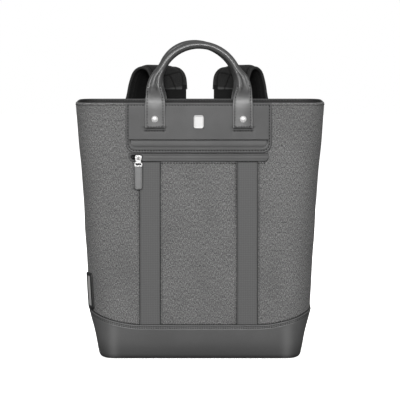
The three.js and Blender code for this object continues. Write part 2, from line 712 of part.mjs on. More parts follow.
// Rolled handle: flat tabs on the wall, necks that round off, and a tube over the arch.
// facing is -1 on the front and 1 on the back, under the way out to the piece that it lies on
function handleRings(facing, under, lift, sway) {
  const legLength = ARCH_CENTRE - TAB_BOTTOM;
  const tabLength = BODY_HEIGHT - TAB_BOTTOM;
  const rows = [
    { along: 0, width: 1, round: 0 },
    { along: tabLength / 2, width: 1, round: 0 },
    ...NECK.map((row) => ({ ...row, along: tabLength + row.along * NECK_LENGTH })),
  ];
  const topAlong = legLength + ARCH_RADIUS * Math.PI / 2;
  const tubeStart = tabLength + NECK_LENGTH;
  for (const share of TUBE_ROWS) {
    rows.push({ along: lerp(tubeStart, topAlong, share), width: 0, round: 1 });
  }
  const offset = under + TAB_CLEARANCE + TAB_THICK / 2;
  const riseOfArch = ARCH_CENTRE + ARCH_RADIUS - BODY_HEIGHT;

  const sections = (side) => rows.map(({ along, width, round }) => {
    const angle = Math.max(0, along - legLength) / ARCH_RADIUS;
    const toe = LEG_TOE * (1 - smoothstep(along, tabLength, legLength));
    const lineX = ARCH_RADIUS * Math.cos(angle) - toe;
    const lineZ = Math.min(TAB_BOTTOM + along, ARCH_CENTRE) + ARCH_RADIUS * Math.sin(angle);
    const wide = new THREE.Vector3(side * Math.cos(angle), 0, Math.sin(angle));
    const sectionWidth = lerp(TUBE, TAB_WIDTH, width);
    const above = Math.max(0, lineZ - BODY_HEIGHT) / riseOfArch;
    const middle = HANDLE_SHIFT + side * tabX;
    const run = facing < 0 ? middle : backRun(middle, lineZ);
    const { y } = bodyPoint(run, Math.min(lineZ + lift, BODY_HEIGHT), offset);
    const centre = new THREE.Vector3(
      HANDLE_SHIFT + side * lineX + sway * above ** 2,
      y - facing * HANDLE_LEAN * above,
      lineZ + lift,
    );
    centre.addScaledVector(wide, (sectionWidth - TUBE) / 2);
    return {
      centre,
      wide,
      thick: new THREE.Vector3(0, 1, 0),
      width: sectionWidth,
      thickness: lerp(TAB_THICK, TUBE, round),
      square: lerp(FLAT_TAB, ROUND_TUBE, Math.min(1, 1.5 * round)),
    };
  });
  const left = sections(-1).map(ovalRing);
  const right = sections(1).map(ovalRing);
  return [...left, ...right.slice(0, -1).reverse()];
}

function buildHandles() {
  const places = [
    { name: 'front', facing: -1, under: yokeOut, lift: 0, sway: 0 },
    { name: 'back', facing: 1, under: 0, lift: BACK_RISE, sway: BACK_HANDLE_SWAY },
  ];
  for (const { name, facing, under, lift, sway } of places) {
    const rings = handleRings(facing, under, lift, sway);
    addPiece(`handle_${name}`, ringGeometry(rings), 'leather');
    for (const [sideName, side] of [['left', -1], ['right', 1]]) {
      const z = TAB_BOTTOM + RIVET_HEIGHT + lift;
      const middle = HANDLE_SHIFT + side * tabX;
      const run = facing < 0 ? middle : backRun(middle, z);
      const seat = bodyPoint(run, z, under + TAB_CLEARANCE + TAB_THICK + GAP);
      const rivet = rivetGeometry();
      rivet.rotateX(facing < 0 ? Math.PI : 0);
      rivet.translate(middle, seat.y, z);
      addPiece(`rivet_${name}_${sideName}`, rivet, 'metal');
    }
  }
}

// Domed disc with its flat face on y = 0 and its dome to +Y
function rivetGeometry() {
  const radius = RIVET_DIAMETER / 2;
  const profile = [
    new THREE.Vector2(0, 0),
    new THREE.Vector2(radius, 0),
    new THREE.Vector2(radius, RIVET_EDGE),
    new THREE.Vector2(radius * 0.7, lerp(RIVET_EDGE, RIVET_THICK, 0.75)),
    new THREE.Vector2(0, RIVET_THICK),
  ];
  return new THREE.LatheGeometry(profile, RIVET_SIDES);
}

// Shoulder straps

function strapPoint(row, side, splay) {
  const x = side * (STRAP_ROOT_X + splay * row.out * STRAP_SPREAD);
  const y = RIM_DEPTH / 2 + STRAP_START_STAND + row.stand * STRAP_STAND;
  const z = BODY_HEIGHT + BACK_RISE + row.up * STRAP_RISE - row.down * STRAP_DROP;
  return new THREE.Vector3(x, y, z);
}

function strapRowAt(share) {
  const place = share * (STRAP_PATH.length - 1);
  const low = Math.min(Math.floor(place), STRAP_PATH.length - 2);
  const way = place - low;
  const pick = (column) => lerp(STRAP_PATH[low][column], STRAP_PATH[low + 1][column], way);
  return { turn: pick('turn'), wide: pick('wide') };
}

function buildPad(name, side, splay) {
  const path = new THREE.CatmullRomCurve3(STRAP_PATH.map((row) => strapPoint(row, side, splay)));
  const rings = [];
  for (let step = 0; step <= STRAP_STEPS; step += 1) {
    const share = step / STRAP_STEPS;
    const { turn, wide } = strapRowAt(share);
    const along = path.getTangent(share);
    if (step === 0 || step === STRAP_STEPS) {
      along.set(0, 0, Math.sign(along.z));
    }
    const angle = degToRad(turn);
    const across = new THREE.Vector3(Math.cos(angle), -side * Math.sin(angle), 0);
    const level = across.clone().addScaledVector(along, -across.dot(along)).normalize();
    rings.push(ovalRing({
      centre: path.getPoint(share),
      wide: level,
      thick: new THREE.Vector3().crossVectors(along, level).normalize(),
      width: STRAP_WIDTH * wide,
      thickness: STRAP_THICK,
      square: FLAT_STRAP,
    }));
  }
  addPiece(`strap_pad_${name}`, ringGeometry(rings), 'strap');
}

// Flat root: sewn to the back, over the handle's tab and rivet, and up to the pad's end
function buildRoot(name, side) {
  const padEnd = strapPoint(STRAP_PATH[0], side, 1);
  const sewnTop = ROOT_BOTTOM + ROOT_SEWN;
  const overTab = TAB_CLEARANCE + TAB_THICK + GAP + RIVET_THICK + GAP;
  const endOffset = STRAP_START_STAND - ROOT_THICK / 2;
  const tabBottom = TAB_BOTTOM + BACK_RISE;
  const leaveTab = BODY_HEIGHT - ROOT_THICK;
  const rows = [
    { z: ROOT_BOTTOM, offset: GAP },
    { z: sewnTop, offset: GAP },
    { z: (sewnTop + tabBottom) / 2, offset: (GAP + overTab) / 2 },
    { z: tabBottom - GAP, offset: overTab },
    { z: leaveTab, offset: overTab },
    { z: (leaveTab + padEnd.z) / 2, offset: lerp(overTab, endOffset, 0.4) },
    { z: padEnd.z - GAP, offset: endOffset },
  ];
  const off = WALL_COLUMNS.map((share) => STRAP_ROOT_X + share * ROOT_WIDTH / 2);
  const grid = (extra) => off.map((x) => rows.map(({ z, offset }) => {
    const point = bodyPoint(backRun(side * x, z), z, 0);
    point.y += offset + extra;
    return point;
  }));
  addPiece(`strap_root_${name}`, slabGeometry(grid(ROOT_THICK), grid(0)), 'strap');
}

// Ladder buckle under the pad's lower end, webbing to the base and the tab that anchors it

function buildLowerEnd(name, side, splay) {
  const padEnd = strapPoint(STRAP_PATH.at(-1), side, splay);
  const buckleTop = padEnd.z - GAP;
  const buckleBottom = buckleTop - BUCKLE_HEIGHT;
  const frame = roundedOutline(
    padEnd.x, buckleBottom, BUCKLE_WIDTH, BUCKLE_HEIGHT, BUCKLE_CORNER, BUCKLE_CORNER,
  );
  const slotHeight = (BUCKLE_HEIGHT - 3 * BUCKLE_BAR) / 2;
  for (const slotBottom of [BUCKLE_BAR, 2 * BUCKLE_BAR + slotHeight]) {
    const bottom = buckleBottom + slotBottom;
    const width = BUCKLE_WIDTH - 2 * BUCKLE_BAR;
    frame.holes.push(
      roundedOutline(padEnd.x, bottom, width, slotHeight, SLOT_CORNER, SLOT_CORNER),
    );
  }
  const settings = { depth: BUCKLE_THICK, bevelEnabled: false, curveSegments: OUTLINE_STEPS };
  const buckle = new THREE.ExtrudeGeometry(frame, settings).rotateX(Math.PI / 2);
  buckle.translate(0, padEnd.y + BUCKLE_THICK / 2, 0);
  addPiece(`strap_buckle_${name}`, buckle, 'plastic');

  const anchorTop = ANCHOR_BOTTOM + ANCHOR_HEIGHT;
  const anchorIn = BASE_PROUD + 2 * GAP;
  const across = SHEET_COLUMNS.map((share) => share * ANCHOR_WIDTH / 2);
  const anchorRuns = (z) => across.map((u) => backRun(side * (ANCHOR_X + u), z));
  const anchor = surfaceSlab(
    anchorRuns,
    levelEdge(ANCHOR_BOTTOM),
    levelEdge(anchorTop),
    TRIM_ROWS,
    anchorIn,
    anchorIn + ANCHOR_THICK,
  );
  addPiece(`strap_anchor_${name}`, anchor, 'webbing');

  const lower = bodyPoint(backRun(side * ANCHOR_X, anchorTop), anchorTop, anchorIn);
  lower.y += ANCHOR_THICK / 2;
  lower.z += GAP;
  const upper = new THREE.Vector3(padEnd.x, padEnd.y, buckleBottom - GAP);
  const web = new THREE.LineCurve3(upper, lower);
  const rings = [0, 0.5, 1].map((share) => ovalRing({
    centre: web.getPoint(share),
    wide: new THREE.Vector3(1, 0, 0),
    thick: new THREE.Vector3(0, 1, 0),
    width: WEB_WIDTH,
    thickness: WEB_THICK,
    square: FLAT_WEB,
  }));
  addPiece(`strap_web_${name}`, ringGeometry(rings), 'webbing');
}

function buildStraps() {
  for (const [name, side] of [['left', -1], ['right', 1]]) {
    const splay = STRAP_SPLAY[name];
    buildPad(name, side, splay);
    buildRoot(name, side);
    buildLowerEnd(name, side, splay);
  }
}

buildBase();
buildWalls();
buildLining();
buildStrips();
buildYoke();
buildZip();
buildEmblem();
buildSidePlate();
buildHandles();
buildStraps();

export default backpack;
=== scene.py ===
# %% [markdown]
# # A tote that is also a backpack
#
# The bag is a tall open tote: melange cloth walls on a moulded leather base, a leather yoke with
# two rolled handles, a zipped pocket, two webbing strips and a pair of padded shoulder straps.
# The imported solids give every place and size. This lesson dresses them: each soft piece is built
# again as a fine mesh on the same body surface, and each finish is a node material.

import json
import math

import bmesh
import bpy
import numpy as np
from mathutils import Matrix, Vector

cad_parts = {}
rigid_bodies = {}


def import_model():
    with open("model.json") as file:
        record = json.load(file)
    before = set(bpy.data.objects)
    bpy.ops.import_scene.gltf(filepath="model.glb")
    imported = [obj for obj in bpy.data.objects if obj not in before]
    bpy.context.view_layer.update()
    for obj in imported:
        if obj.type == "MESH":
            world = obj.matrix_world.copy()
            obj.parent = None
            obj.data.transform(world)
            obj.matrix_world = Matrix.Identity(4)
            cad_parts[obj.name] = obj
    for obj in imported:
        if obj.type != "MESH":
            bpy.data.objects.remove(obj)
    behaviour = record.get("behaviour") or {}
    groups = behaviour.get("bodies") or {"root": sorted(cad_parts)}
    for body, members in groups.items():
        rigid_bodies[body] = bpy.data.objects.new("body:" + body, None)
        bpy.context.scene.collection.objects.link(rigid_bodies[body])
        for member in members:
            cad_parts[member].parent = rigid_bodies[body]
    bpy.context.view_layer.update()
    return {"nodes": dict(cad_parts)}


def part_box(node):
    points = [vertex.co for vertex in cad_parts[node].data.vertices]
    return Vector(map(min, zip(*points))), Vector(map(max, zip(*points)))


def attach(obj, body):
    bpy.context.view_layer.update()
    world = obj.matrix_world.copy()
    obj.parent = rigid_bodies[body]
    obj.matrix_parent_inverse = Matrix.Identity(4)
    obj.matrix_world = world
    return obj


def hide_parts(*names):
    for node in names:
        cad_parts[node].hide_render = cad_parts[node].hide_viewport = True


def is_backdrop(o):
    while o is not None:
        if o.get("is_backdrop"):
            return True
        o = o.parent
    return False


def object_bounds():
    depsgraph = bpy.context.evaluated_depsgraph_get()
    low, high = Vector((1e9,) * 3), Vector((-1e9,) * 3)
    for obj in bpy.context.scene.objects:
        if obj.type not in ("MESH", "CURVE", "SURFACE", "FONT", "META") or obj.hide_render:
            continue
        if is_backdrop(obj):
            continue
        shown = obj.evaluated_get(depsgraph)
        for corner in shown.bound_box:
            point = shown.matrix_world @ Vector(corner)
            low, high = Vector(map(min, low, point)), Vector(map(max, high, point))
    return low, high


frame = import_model()
MM = 0.001

# %% [markdown]
# ## Camera
#
# The photograph is taken from straight ahead and a little above, from far enough away that the
# sides hardly converge. A long lens at 2.3 m gives the same lines. The camera comes first, so that
# every piece can be judged from the same place. The lamps come last, when there is a bag to light.

# %% Camera
LOOK_AT = Vector((0.0, -0.07, 0.2489))
CAMERA_DISTANCE = 2.3
CAMERA_ELEVATION = math.radians(4.0)
LENS = 133.6
SENSOR = 36.0


def place_camera():
    data = bpy.data.cameras.new("camera")
    data.lens = LENS
    data.sensor_width = SENSOR
    camera = bpy.data.objects.new("camera", data)
    bpy.context.scene.collection.objects.link(camera)
    back = Vector((0.0, -math.cos(CAMERA_ELEVATION), math.sin(CAMERA_ELEVATION)))
    camera.location = LOOK_AT + CAMERA_DISTANCE * back
    camera.rotation_euler = (-back).to_track_quat("-Z", "Y").to_euler()
    bpy.context.scene.camera = camera
    return camera


camera = place_camera()
print("camera at", [round(value, 3) for value in camera.location])

# %% [markdown]
# ## A small language for materials
#
# A node material is a sum of patterns. Written as Python expressions it stays readable: a
# `Signal` wraps one socket and its operators add the Math nodes, and a `Finish` owns the material
# and adds every other kind of node through one method.


# %% Signals and finishes
class Signal:
    """A value or vector in a finish. Arithmetic on values adds Math nodes."""

    def __init__(self, finish, socket):
        self.finish = finish
        self.socket = socket

    def math(self, operation, first, second):
        return self.finish.node("ShaderNodeMath", {"operation": operation}, {0: first, 1: second})

    def __add__(self, other):
        return self.math("ADD", self, other)

    def __radd__(self, other):
        return self.math("ADD", other, self)

    def __sub__(self, other):
        return self.math("SUBTRACT", self, other)

    def __rsub__(self, other):
        return self.math("SUBTRACT", other, self)

    def __mul__(self, other):
        return self.math("MULTIPLY", self, other)

    def __rmul__(self, other):
        return self.math("MULTIPLY", other, self)

    def wave(self, pitch):
        """0 to 1 and back once in every pitch."""
        turn = self * (2 * math.pi / pitch)
        return 0.5 + 0.5 * self.math("SINE", turn, 0.0)

    def ramp(self, low, high):
        """0 below low, 1 above high and smooth between them."""
        settings = {"interpolation_type": "SMOOTHSTEP"}
        inputs = {"Value": self, "From Min": low, "From Max": high}
        return self.finish.node("ShaderNodeMapRange", settings, inputs)


# %% Finishes with one shader
# Shares of a finish's own tone in full painted shade and in a full painted highlight
SHADE_TONE = 0.25
HIGHLIGHT_TONE = 1.6


class Finish:
    """A node material that ends in one Principled shader."""

    def __init__(self, name):
        self.material = bpy.data.materials.new(name)
        self.material.use_nodes = True
        self.tree = self.material.node_tree
        self.tree.nodes.clear()
        self.last = None

    def node(self, kind, settings=None, inputs=None, output=0):
        """Adds a node: its settings first, then its inputs, which are values or signals."""
        made = self.tree.nodes.new(kind)
        self.last = made
        for key, value in (settings or {}).items():
            setattr(made, key, value)
        for key, value in (inputs or {}).items():
            if isinstance(value, Signal):
                self.tree.links.new(value.socket, made.inputs[key])
            else:
                made.inputs[key].default_value = value
        return Signal(self, made.outputs[output]) if made.outputs else None

    def also(self, output):
        """Another output of the node that was added last."""
        return Signal(self, self.last.outputs[output])

    def place(self):
        """The point on the piece, in metres, in the bag's own frame."""
        return self.node("ShaderNodeTexCoord", output="Object")

    def lay(self):
        """The point where the cloth lies flat: across, along and out, in metres."""
        return self.node("ShaderNodeAttribute", {"attribute_name": "lay"}, output="Vector")

    def scaled(self, point, across, along, out=1.0):
        """A point counted in grains of this size, so that a pattern gets them as its cells."""
        inputs = {0: point, 1: (1 / across, 1 / along, 1 / out)}
        return self.node("ShaderNodeVectorMath", {"operation": "MULTIPLY"}, inputs)

    def parts(self, point):
        first = self.node("ShaderNodeSeparateXYZ", inputs={0: point}, output=0)
        return first, self.also(1), self.also(2)

    def noise(self, point, scale=1.0, detail=2.0, roughness=0.5):
        """Soft noise from 0 to 1; scale is its number of cells to the metre."""
        inputs = {"Vector": point, "Scale": scale, "Detail": detail, "Roughness": roughness}
        return self.node("ShaderNodeTexNoise", inputs=inputs, output="Fac")

    def cells(self, point, scale):
        """Distance to the middle of the nearest cell, with soft walls between the cells."""
        settings, inputs = {"feature": "SMOOTH_F1"}, {"Vector": point, "Scale": scale}
        return self.node("ShaderNodeTexVoronoi", settings, inputs, output="Distance")

    def blend(self, factor, under, over):
        inputs = {0: factor, 6: under, 7: over}
        return self.node("ShaderNodeMix", {"data_type": "RGBA"}, inputs, output=2)

    def paint_shade_and_highlight(self, colour, tone):
        """Paints shade and highlights into a colour: darker where the attribute `shade` is
        positive, as painted shade in seams, grooves, folds and under overhangs, and lighter where
        it is negative, as painted highlights on edges and ridges, and as lighter seam lines on the
        strap mesh.

        The pieces carry the attribute `shade` for this: 1 for full painted shade, -1 for a full
        painted highlight.
        """
        shade = self.node("ShaderNodeAttribute", {"attribute_name": "shade"}, output="Fac")
        colour = self.blend(shade.ramp(0.0, 1.0), colour, grey(tone * SHADE_TONE))
        return self.blend(shade.ramp(0.0, -1.0), colour, grey(tone * HIGHLIGHT_TONE))

    def bump(self, height, distance, strength):
        inputs = {"Height": height, "Distance": distance, "Strength": strength}
        return self.node("ShaderNodeBump", inputs=inputs)

    def surface(self, **inputs):
        """Closes the material. Names such as base_color stand for Base Color."""
        named = {
            key.replace("_", " ").title().replace("Ior", "IOR"): value
            for key, value in inputs.items()
        }
        shader = self.node("ShaderNodeBsdfPrincipled", inputs=named)
        self.node("ShaderNodeOutputMaterial", inputs={"Surface": shader})
        return self.material


def grey(tone, warmth=0.0):
    """Linear colour of an sRGB grey from 0 to 255; warmth moves it from blue to red."""
    linear = ((tone / 255 + 0.055) / 1.055) ** 2.4
    return (linear * (1 + warmth), linear, linear * (1 - warmth), 1.0)


# %% [markdown]
# ## Finishes
#
# The walls are a heavy melange cloth: light and dark fibres are carded together before spinning,
# so the colour changes along every thread and the cloth looks mottled with a slight upright
# grain. The leather is smooth, with pores that only show as a soft break in its gloss. The strips
# are a ribbed webbing, the straps a charcoal melange outside and a knitted mesh inside.


# %% Melange cloth
def melange_cloth(name, ground, light, dark):
    finish = Finish(name)
    point = finish.lay()
    mottle = finish.noise(finish.scaled(point, 0.9 * MM, 1.9 * MM), detail=1.0)
    slub = finish.noise(finish.scaled(point, 0.9 * MM, 4.8 * MM), detail=1.0)
    fleck = finish.noise(finish.scaled(point, 0.6 * MM, 0.8 * MM), detail=0.0)
    drift = finish.noise(finish.scaled(point, 50 * MM, 80 * MM), detail=2.0)
    across, along, _ = finish.parts(point)
    weave = across.wave(0.9 * MM) * along.wave(1.1 * MM)
    fibres = mottle * 0.5 + slub * 0.3 + fleck * 0.2
    colour = finish.blend(fibres.ramp(0.46, 0.66), grey(ground), grey(light, 0.012))
    colour = finish.blend(fibres.ramp(0.52, 0.34), colour, grey(dark, 0.004))
    colour = finish.blend(drift.ramp(0.3, 0.8) * 0.2, colour, grey(dark))
    return finish.surface(
        base_color=finish.paint_shade_and_highlight(colour, ground),
        roughness=0.84 + 0.12 * fleck,
        normal=finish.bump(weave * 0.5 + fibres * 0.3, 0.1 * MM, 0.15),
        sheen_weight=0.05,
        sheen_roughness=0.5,
        specular_ior_level=0.1,
    )


wall_cloth = melange_cloth("wall_cloth", 92, 134, 52)
strap_cloth = melange_cloth("strap_cloth", 34, 42, 28)
print("cloths:", wall_cloth.name, strap_cloth.name)


# %% Leather
def smooth_leather(name, tone, roughness, grain=0.2 * MM, foot=None):
    """Foot is (low, high, tone): painted shade, the colour that the leather darkens to from high
    down to low.
    """
    finish = Finish(name)
    point = finish.place()
    warp = finish.noise(point, 230.0, detail=2.0)
    pores = finish.cells(point, 950.0)
    creases = finish.noise(point, 620.0, detail=3.0, roughness=0.6)
    cloud = finish.noise(point, 22.0, detail=3.0)
    colour = finish.blend(cloud.ramp(0.3, 0.7), grey(tone * 1.04), grey(tone * 0.95))
    colour = finish.blend(pores.ramp(0.45, 0.8) * 0.25, colour, grey(tone * 0.8))
    if foot:
        low, high, shaded_foot_tone = foot
        _, _, up = finish.parts(point)
        colour = finish.blend(up.ramp(high, low), colour, grey(shaded_foot_tone))
    height = pores * 0.7 + creases * 0.5 + warp * 0.6
    return finish.surface(
        base_color=finish.paint_shade_and_highlight(colour, tone),
        roughness=roughness + 0.12 * (creases - 0.5) + 0.1 * (cloud - 0.5),
        normal=finish.bump(height, grain, 0.5),
        specular_ior_level=0.5,
    )


leather = smooth_leather("leather", 56, 0.54)
handle_leather = smooth_leather("handle_leather", 66, 0.3, grain=0.06 * MM)
pull_leather = smooth_leather("pull_leather", 104, 0.4)
# The base's foot is painted darker, as shade towards the floor.
base_leather = smooth_leather("base_leather", 74, 0.42, foot=(4 * MM, 42 * MM, 58))
facing_leather = smooth_leather("facing_leather", 42, 0.6)
print("leathers:", leather.name, handle_leather.name, base_leather.name)


# %% Webbing and strap linings
def ribbed_webbing(name, tone, rib, across_pitch, gloss=0.3):
    finish = Finish(name)
    point = finish.lay()
    across, along, _ = finish.parts(point)
    ribs = along.wave(rib)
    cords = across.wave(across_pitch)
    yarn = finish.noise(finish.scaled(point, 1.6 * MM, 1.6 * MM), detail=2.0)
    body = ribs * 0.6 + cords * 0.4
    colour = finish.blend(body, grey(tone * 0.92), grey(tone * 1.06))
    colour = finish.blend(yarn.ramp(0.4, 0.75) * 0.3, colour, grey(tone * 0.84))
    return finish.surface(
        base_color=finish.paint_shade_and_highlight(colour, tone),
        roughness=0.7 + 0.15 * yarn,
        normal=finish.bump(body + yarn * 0.4, 0.3 * MM, 0.4),
        specular_ior_level=gloss,
    )


def knitted_mesh(name, tone):
    finish = Finish(name)
    point = finish.lay()
    across, along, _ = finish.parts(point)
    holes = across.wave(3.2 * MM) * along.wave(2.8 * MM)
    yarn = finish.noise(finish.scaled(point, 1.2 * MM, 1.2 * MM), detail=2.0)
    colour = finish.blend(holes, grey(tone * 1.2), grey(tone * 0.7))
    return finish.surface(
        base_color=finish.paint_shade_and_highlight(colour, tone),
        roughness=0.85 + 0.1 * yarn,
        normal=finish.bump(yarn * 0.5 - holes, 0.6 * MM, 0.7),
        specular_ior_level=0.2,
    )


strip_webbing = ribbed_webbing("strip_webbing", 83, 2.8 * MM, 3.6 * MM)
dark_webbing = ribbed_webbing("dark_webbing", 18, 2.2 * MM, 1.6 * MM, 0.1)
strap_mesh = knitted_mesh("strap_mesh", 17)
binding_tape = ribbed_webbing("binding_tape", 44, 1.3 * MM, 1.3 * MM, 0.15)
print("webbings:", strip_webbing.name, dark_webbing.name, strap_mesh.name)


# %% Thread, lining, metal and plastic
def plain_thread(name, tone):
    finish = Finish(name)
    twist = finish.noise(finish.place(), 2600.0, detail=1.0)
    colour = finish.blend(twist, grey(tone * 0.75), grey(tone * 1.2))
    return finish.surface(base_color=colour, roughness=0.7 + 0.1 * twist)


def lining_cloth(name, tone):
    finish = Finish(name)
    point = finish.lay()
    across, along, _ = finish.parts(point)
    weave = across.wave(1.1 * MM) * along.wave(1.1 * MM)
    fold = finish.noise(finish.scaled(point, 50 * MM, 120 * MM), detail=2.0)
    colour = finish.blend(fold, grey(tone * 0.85), grey(tone * 1.15))
    return finish.surface(
        base_color=colour,
        roughness=0.75 + 0.1 * fold,
        normal=finish.bump(weave + fold * 4.0, 0.4 * MM, 0.5),
    )


def cast_metal(name, tone, roughness, brushed, metallic=1.0):
    """Nickel-plated metal. Brushed is how far its scratches run one way, 1 for none."""
    finish = Finish(name)
    point = finish.place()
    fine = 0.2 * MM
    scratch = finish.noise(finish.scaled(point, fine * brushed, fine, fine), detail=2.0)
    stain = finish.noise(point, 160.0, detail=2.0)
    colour = finish.blend(stain, grey(tone * 0.96, 0.01), grey(tone * 1.03, 0.004))
    return finish.surface(
        base_color=colour,
        metallic=metallic,
        roughness=roughness + 0.14 * (scratch - 0.5) + 0.05 * stain,
        normal=finish.bump(scratch, 0.04 * MM, 0.4),
    )


def moulded_plastic(name, tone):
    finish = Finish(name)
    stipple = finish.noise(finish.place(), 1500.0, detail=2.0)
    colour = finish.blend(stipple, grey(tone * 0.9), grey(tone * 1.15))
    normal = finish.bump(stipple, 0.1 * MM, 0.5)
    return finish.surface(base_color=colour, roughness=0.42 + 0.1 * stipple, normal=normal)


dark_thread = plain_thread("dark_thread", 6)
strip_thread = plain_thread("strip_thread", 74)
strap_thread = plain_thread("strap_thread", 22)
inner_cloth = lining_cloth("inner_cloth", 32)
bright_metal = cast_metal("bright_metal", 190, 0.34, 1.0)
rivet_metal = cast_metal("rivet_metal", 196, 0.5, 1.0, 0.6)
satin_metal = cast_metal("satin_metal", 172, 0.5, 12.0, 0.6)
dull_metal = cast_metal("dull_metal", 176, 0.5, 12.0, 0.3)
black_plastic = moulded_plastic("black_plastic", 24)
print("small finishes:", dark_thread.name, inner_cloth.name, bright_metal.name)

# %% [markdown]
# ## The body surface
#
# Every wall, strip, yoke and seam lies on one surface: a rounded rectangle at each height, wider
# at the rim and deeper at the base. `run` is the way round the wall from the middle of the front,
# positive towards the right of the picture. The solids are made from the same few sections, so
# whatever is put on this surface fits them. The table is read with a little smoothing, because
# cloth doesn't crease where a table has a row.

# %% Sections of the body
BODY_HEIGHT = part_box("front_panel")[1].z
BACK_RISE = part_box("back_panel")[1].z - BODY_HEIGHT
RIM_WIDTH = 2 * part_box("side_panel_right")[1].x
BASE_WIDTH = 313 * MM
BASE_DEPTH = 140 * MM
RIM_DEPTH = 124 * MM
BASE_CORNER = 24 * MM
BODY_CORNER = 46 * MM
BASE_ROUND = 7 * MM
PANEL_BULGE = 4 * MM
FABRIC = 2.4 * MM
BASE_PROUD = 0.8 * MM
GAP = 0.3 * MM

# height is a share of the body's height; flare, taper and corner are shares of the way from base
# to rim width, base to rim depth and base to body corner radius
SECTION_HEIGHT = [0.0, 0.035, 0.083, 0.13, 0.176, 0.27, 0.455, 0.645, 0.83, 1.0, 1.1]
SECTION_FLARE = [0.0, 0.07, 0.16, 0.29, 0.45, 0.51, 0.6, 0.71, 0.88, 1.0, 1.08]
SECTION_TAPER = [0.0, 0.0, -0.05, -0.1, -0.1, -0.05, 0.15, 0.45, 0.8, 1.0, 1.12]
SECTION_CORNER = [0.0, 0.05, 0.35, 0.7, 1.0, 1.0, 1.0, 0.9, 0.75, 0.65, 0.6]
SMOOTHING = np.linspace(-0.028, 0.028, 9)


def smoothstep(value, low, high):
    share = np.clip((value - low) / (high - low), 0.0, 1.0)
    return share * share * (3 - 2 * share)


def lerp(start, end, share):
    return start + (end - start) * share


def section_column(share, column):
    return np.mean([np.interp(share + near, SECTION_HEIGHT, column) for near in SMOOTHING], axis=0)


def section_at(z):
    """Half width, half depth, corner radius and the lengths of half the way round at a height.

    The lengths are the flat from the middle to the corner, the corner's arc, the flank between
    the corners, and all of half the way round.
    """
    share = np.clip(z / BODY_HEIGHT, 0.0, 1.02)
    half_width = lerp(BASE_WIDTH, RIM_WIDTH, section_column(share, SECTION_FLARE)) / 2
    half_depth = lerp(BASE_DEPTH, RIM_DEPTH, section_column(share, SECTION_TAPER)) / 2
    corner = lerp(BASE_CORNER, BODY_CORNER, section_column(share, SECTION_CORNER))
    flat = half_width - corner
    arc = corner * math.pi / 2
    flank = 2 * (half_depth - corner)
    return half_width, half_depth, corner, flat, arc, flank, 2 * flat + 2 * arc + flank


print(f"body: {RIM_WIDTH / MM:.0f} mm wide at the rim, {BODY_HEIGHT / MM:.0f} mm high in front")

# %% Points and normals on the body
def body_point(run, z, out=0.0):
    """Points on the body's surface, an array of (x, y, z), each `out` metres away from it."""
    run, z, out = np.broadcast_arrays(*(np.asarray(a, float) for a in (run, z, out)))
    _, half_depth, corner, flat, arc, _, half = section_at(z)
    below = np.clip(BASE_ROUND - z, 0.0, BASE_ROUND)
    proud = out - (BASE_ROUND - np.sqrt(BASE_ROUND**2 - below**2))
    side = np.where(run < 0, -1.0, 1.0)
    way = np.abs(run)
    facing = np.where(way < half / 2, -1.0, 1.0)
    middle = np.where(facing < 0, way, half - way)
    rise = np.sin(math.pi * np.clip(z / BODY_HEIGHT, 0.0, 1.0))
    bulge = PANEL_BULGE * rise * (1 - np.clip(middle / flat, -1.0, 1.0) ** 2) ** 2
    angle = np.clip((middle - flat) / corner, 0.0, math.pi / 2)
    beyond = np.clip(middle - flat - arc, 0.0, None)
    x = np.where(middle <= flat, middle, flat + (corner + proud) * np.sin(angle))
    y_front = half_depth + proud + bulge
    y_corner = half_depth - corner + (corner + proud) * np.cos(angle) - beyond
    y = np.where(middle <= flat, y_front, y_corner)
    return np.stack([side * x, facing * y, z], axis=-1)


def body_normal(run, z):
    step = 0.4 * MM
    along = body_point(run + step, z) - body_point(run - step, z)
    up = body_point(run, z + step) - body_point(run, z - step)
    normal = np.cross(along, up)
    return normal / np.linalg.norm(normal, axis=-1, keepdims=True)


def back_run(off, z):
    """Run of a point that lies `off` from the middle of the back."""
    half = section_at(np.asarray(z, float))[-1]
    return np.where(np.asarray(off) < 0, -1.0, 1.0) * (half - np.abs(off))


def rim_height(run):
    y = body_point(run, BODY_HEIGHT)[..., 1]
    return BODY_HEIGHT + BACK_RISE * smoothstep(y, -RIM_DEPTH / 2, RIM_DEPTH / 2)


# %% Edge of the leather base
SEAM_HEIGHT = 53.6 * MM
SEAM_CLIMB = 25 * MM
SEAM_LEVEL_RUN = 92 * MM
SEAM_CLIMB_RUN = 130 * MM


def seam_height(run):
    """Height of the edge of the leather base: level in front and higher round the sides."""
    half = section_at(np.asarray(SEAM_HEIGHT))[-1]
    middle = np.minimum(np.abs(run), half - np.abs(run))
    return SEAM_HEIGHT + SEAM_CLIMB * smoothstep(middle - SEAM_LEVEL_RUN, 0.0, SEAM_CLIMB_RUN)


HALF_RIM = float(section_at(np.asarray(BODY_HEIGHT))[-1])
HALF_SEAM = float(section_at(np.asarray(SEAM_HEIGHT))[-1])
print(f"way round: {2 * HALF_RIM / MM:.0f} mm at the rim, {2 * HALF_SEAM / MM:.0f} mm at the base")

# %% [markdown]
# ## Making pieces
#
# Most pieces of a bag are sheets with a thickness, so one helper turns two grids of points into a
# closed slab. Turned and skived edges are round, which a lift that falls off near the outline
# gives. Every mesh carries the attribute `lay`, the place of each point on the flat cloth, so the
# weave follows the piece instead of the room.


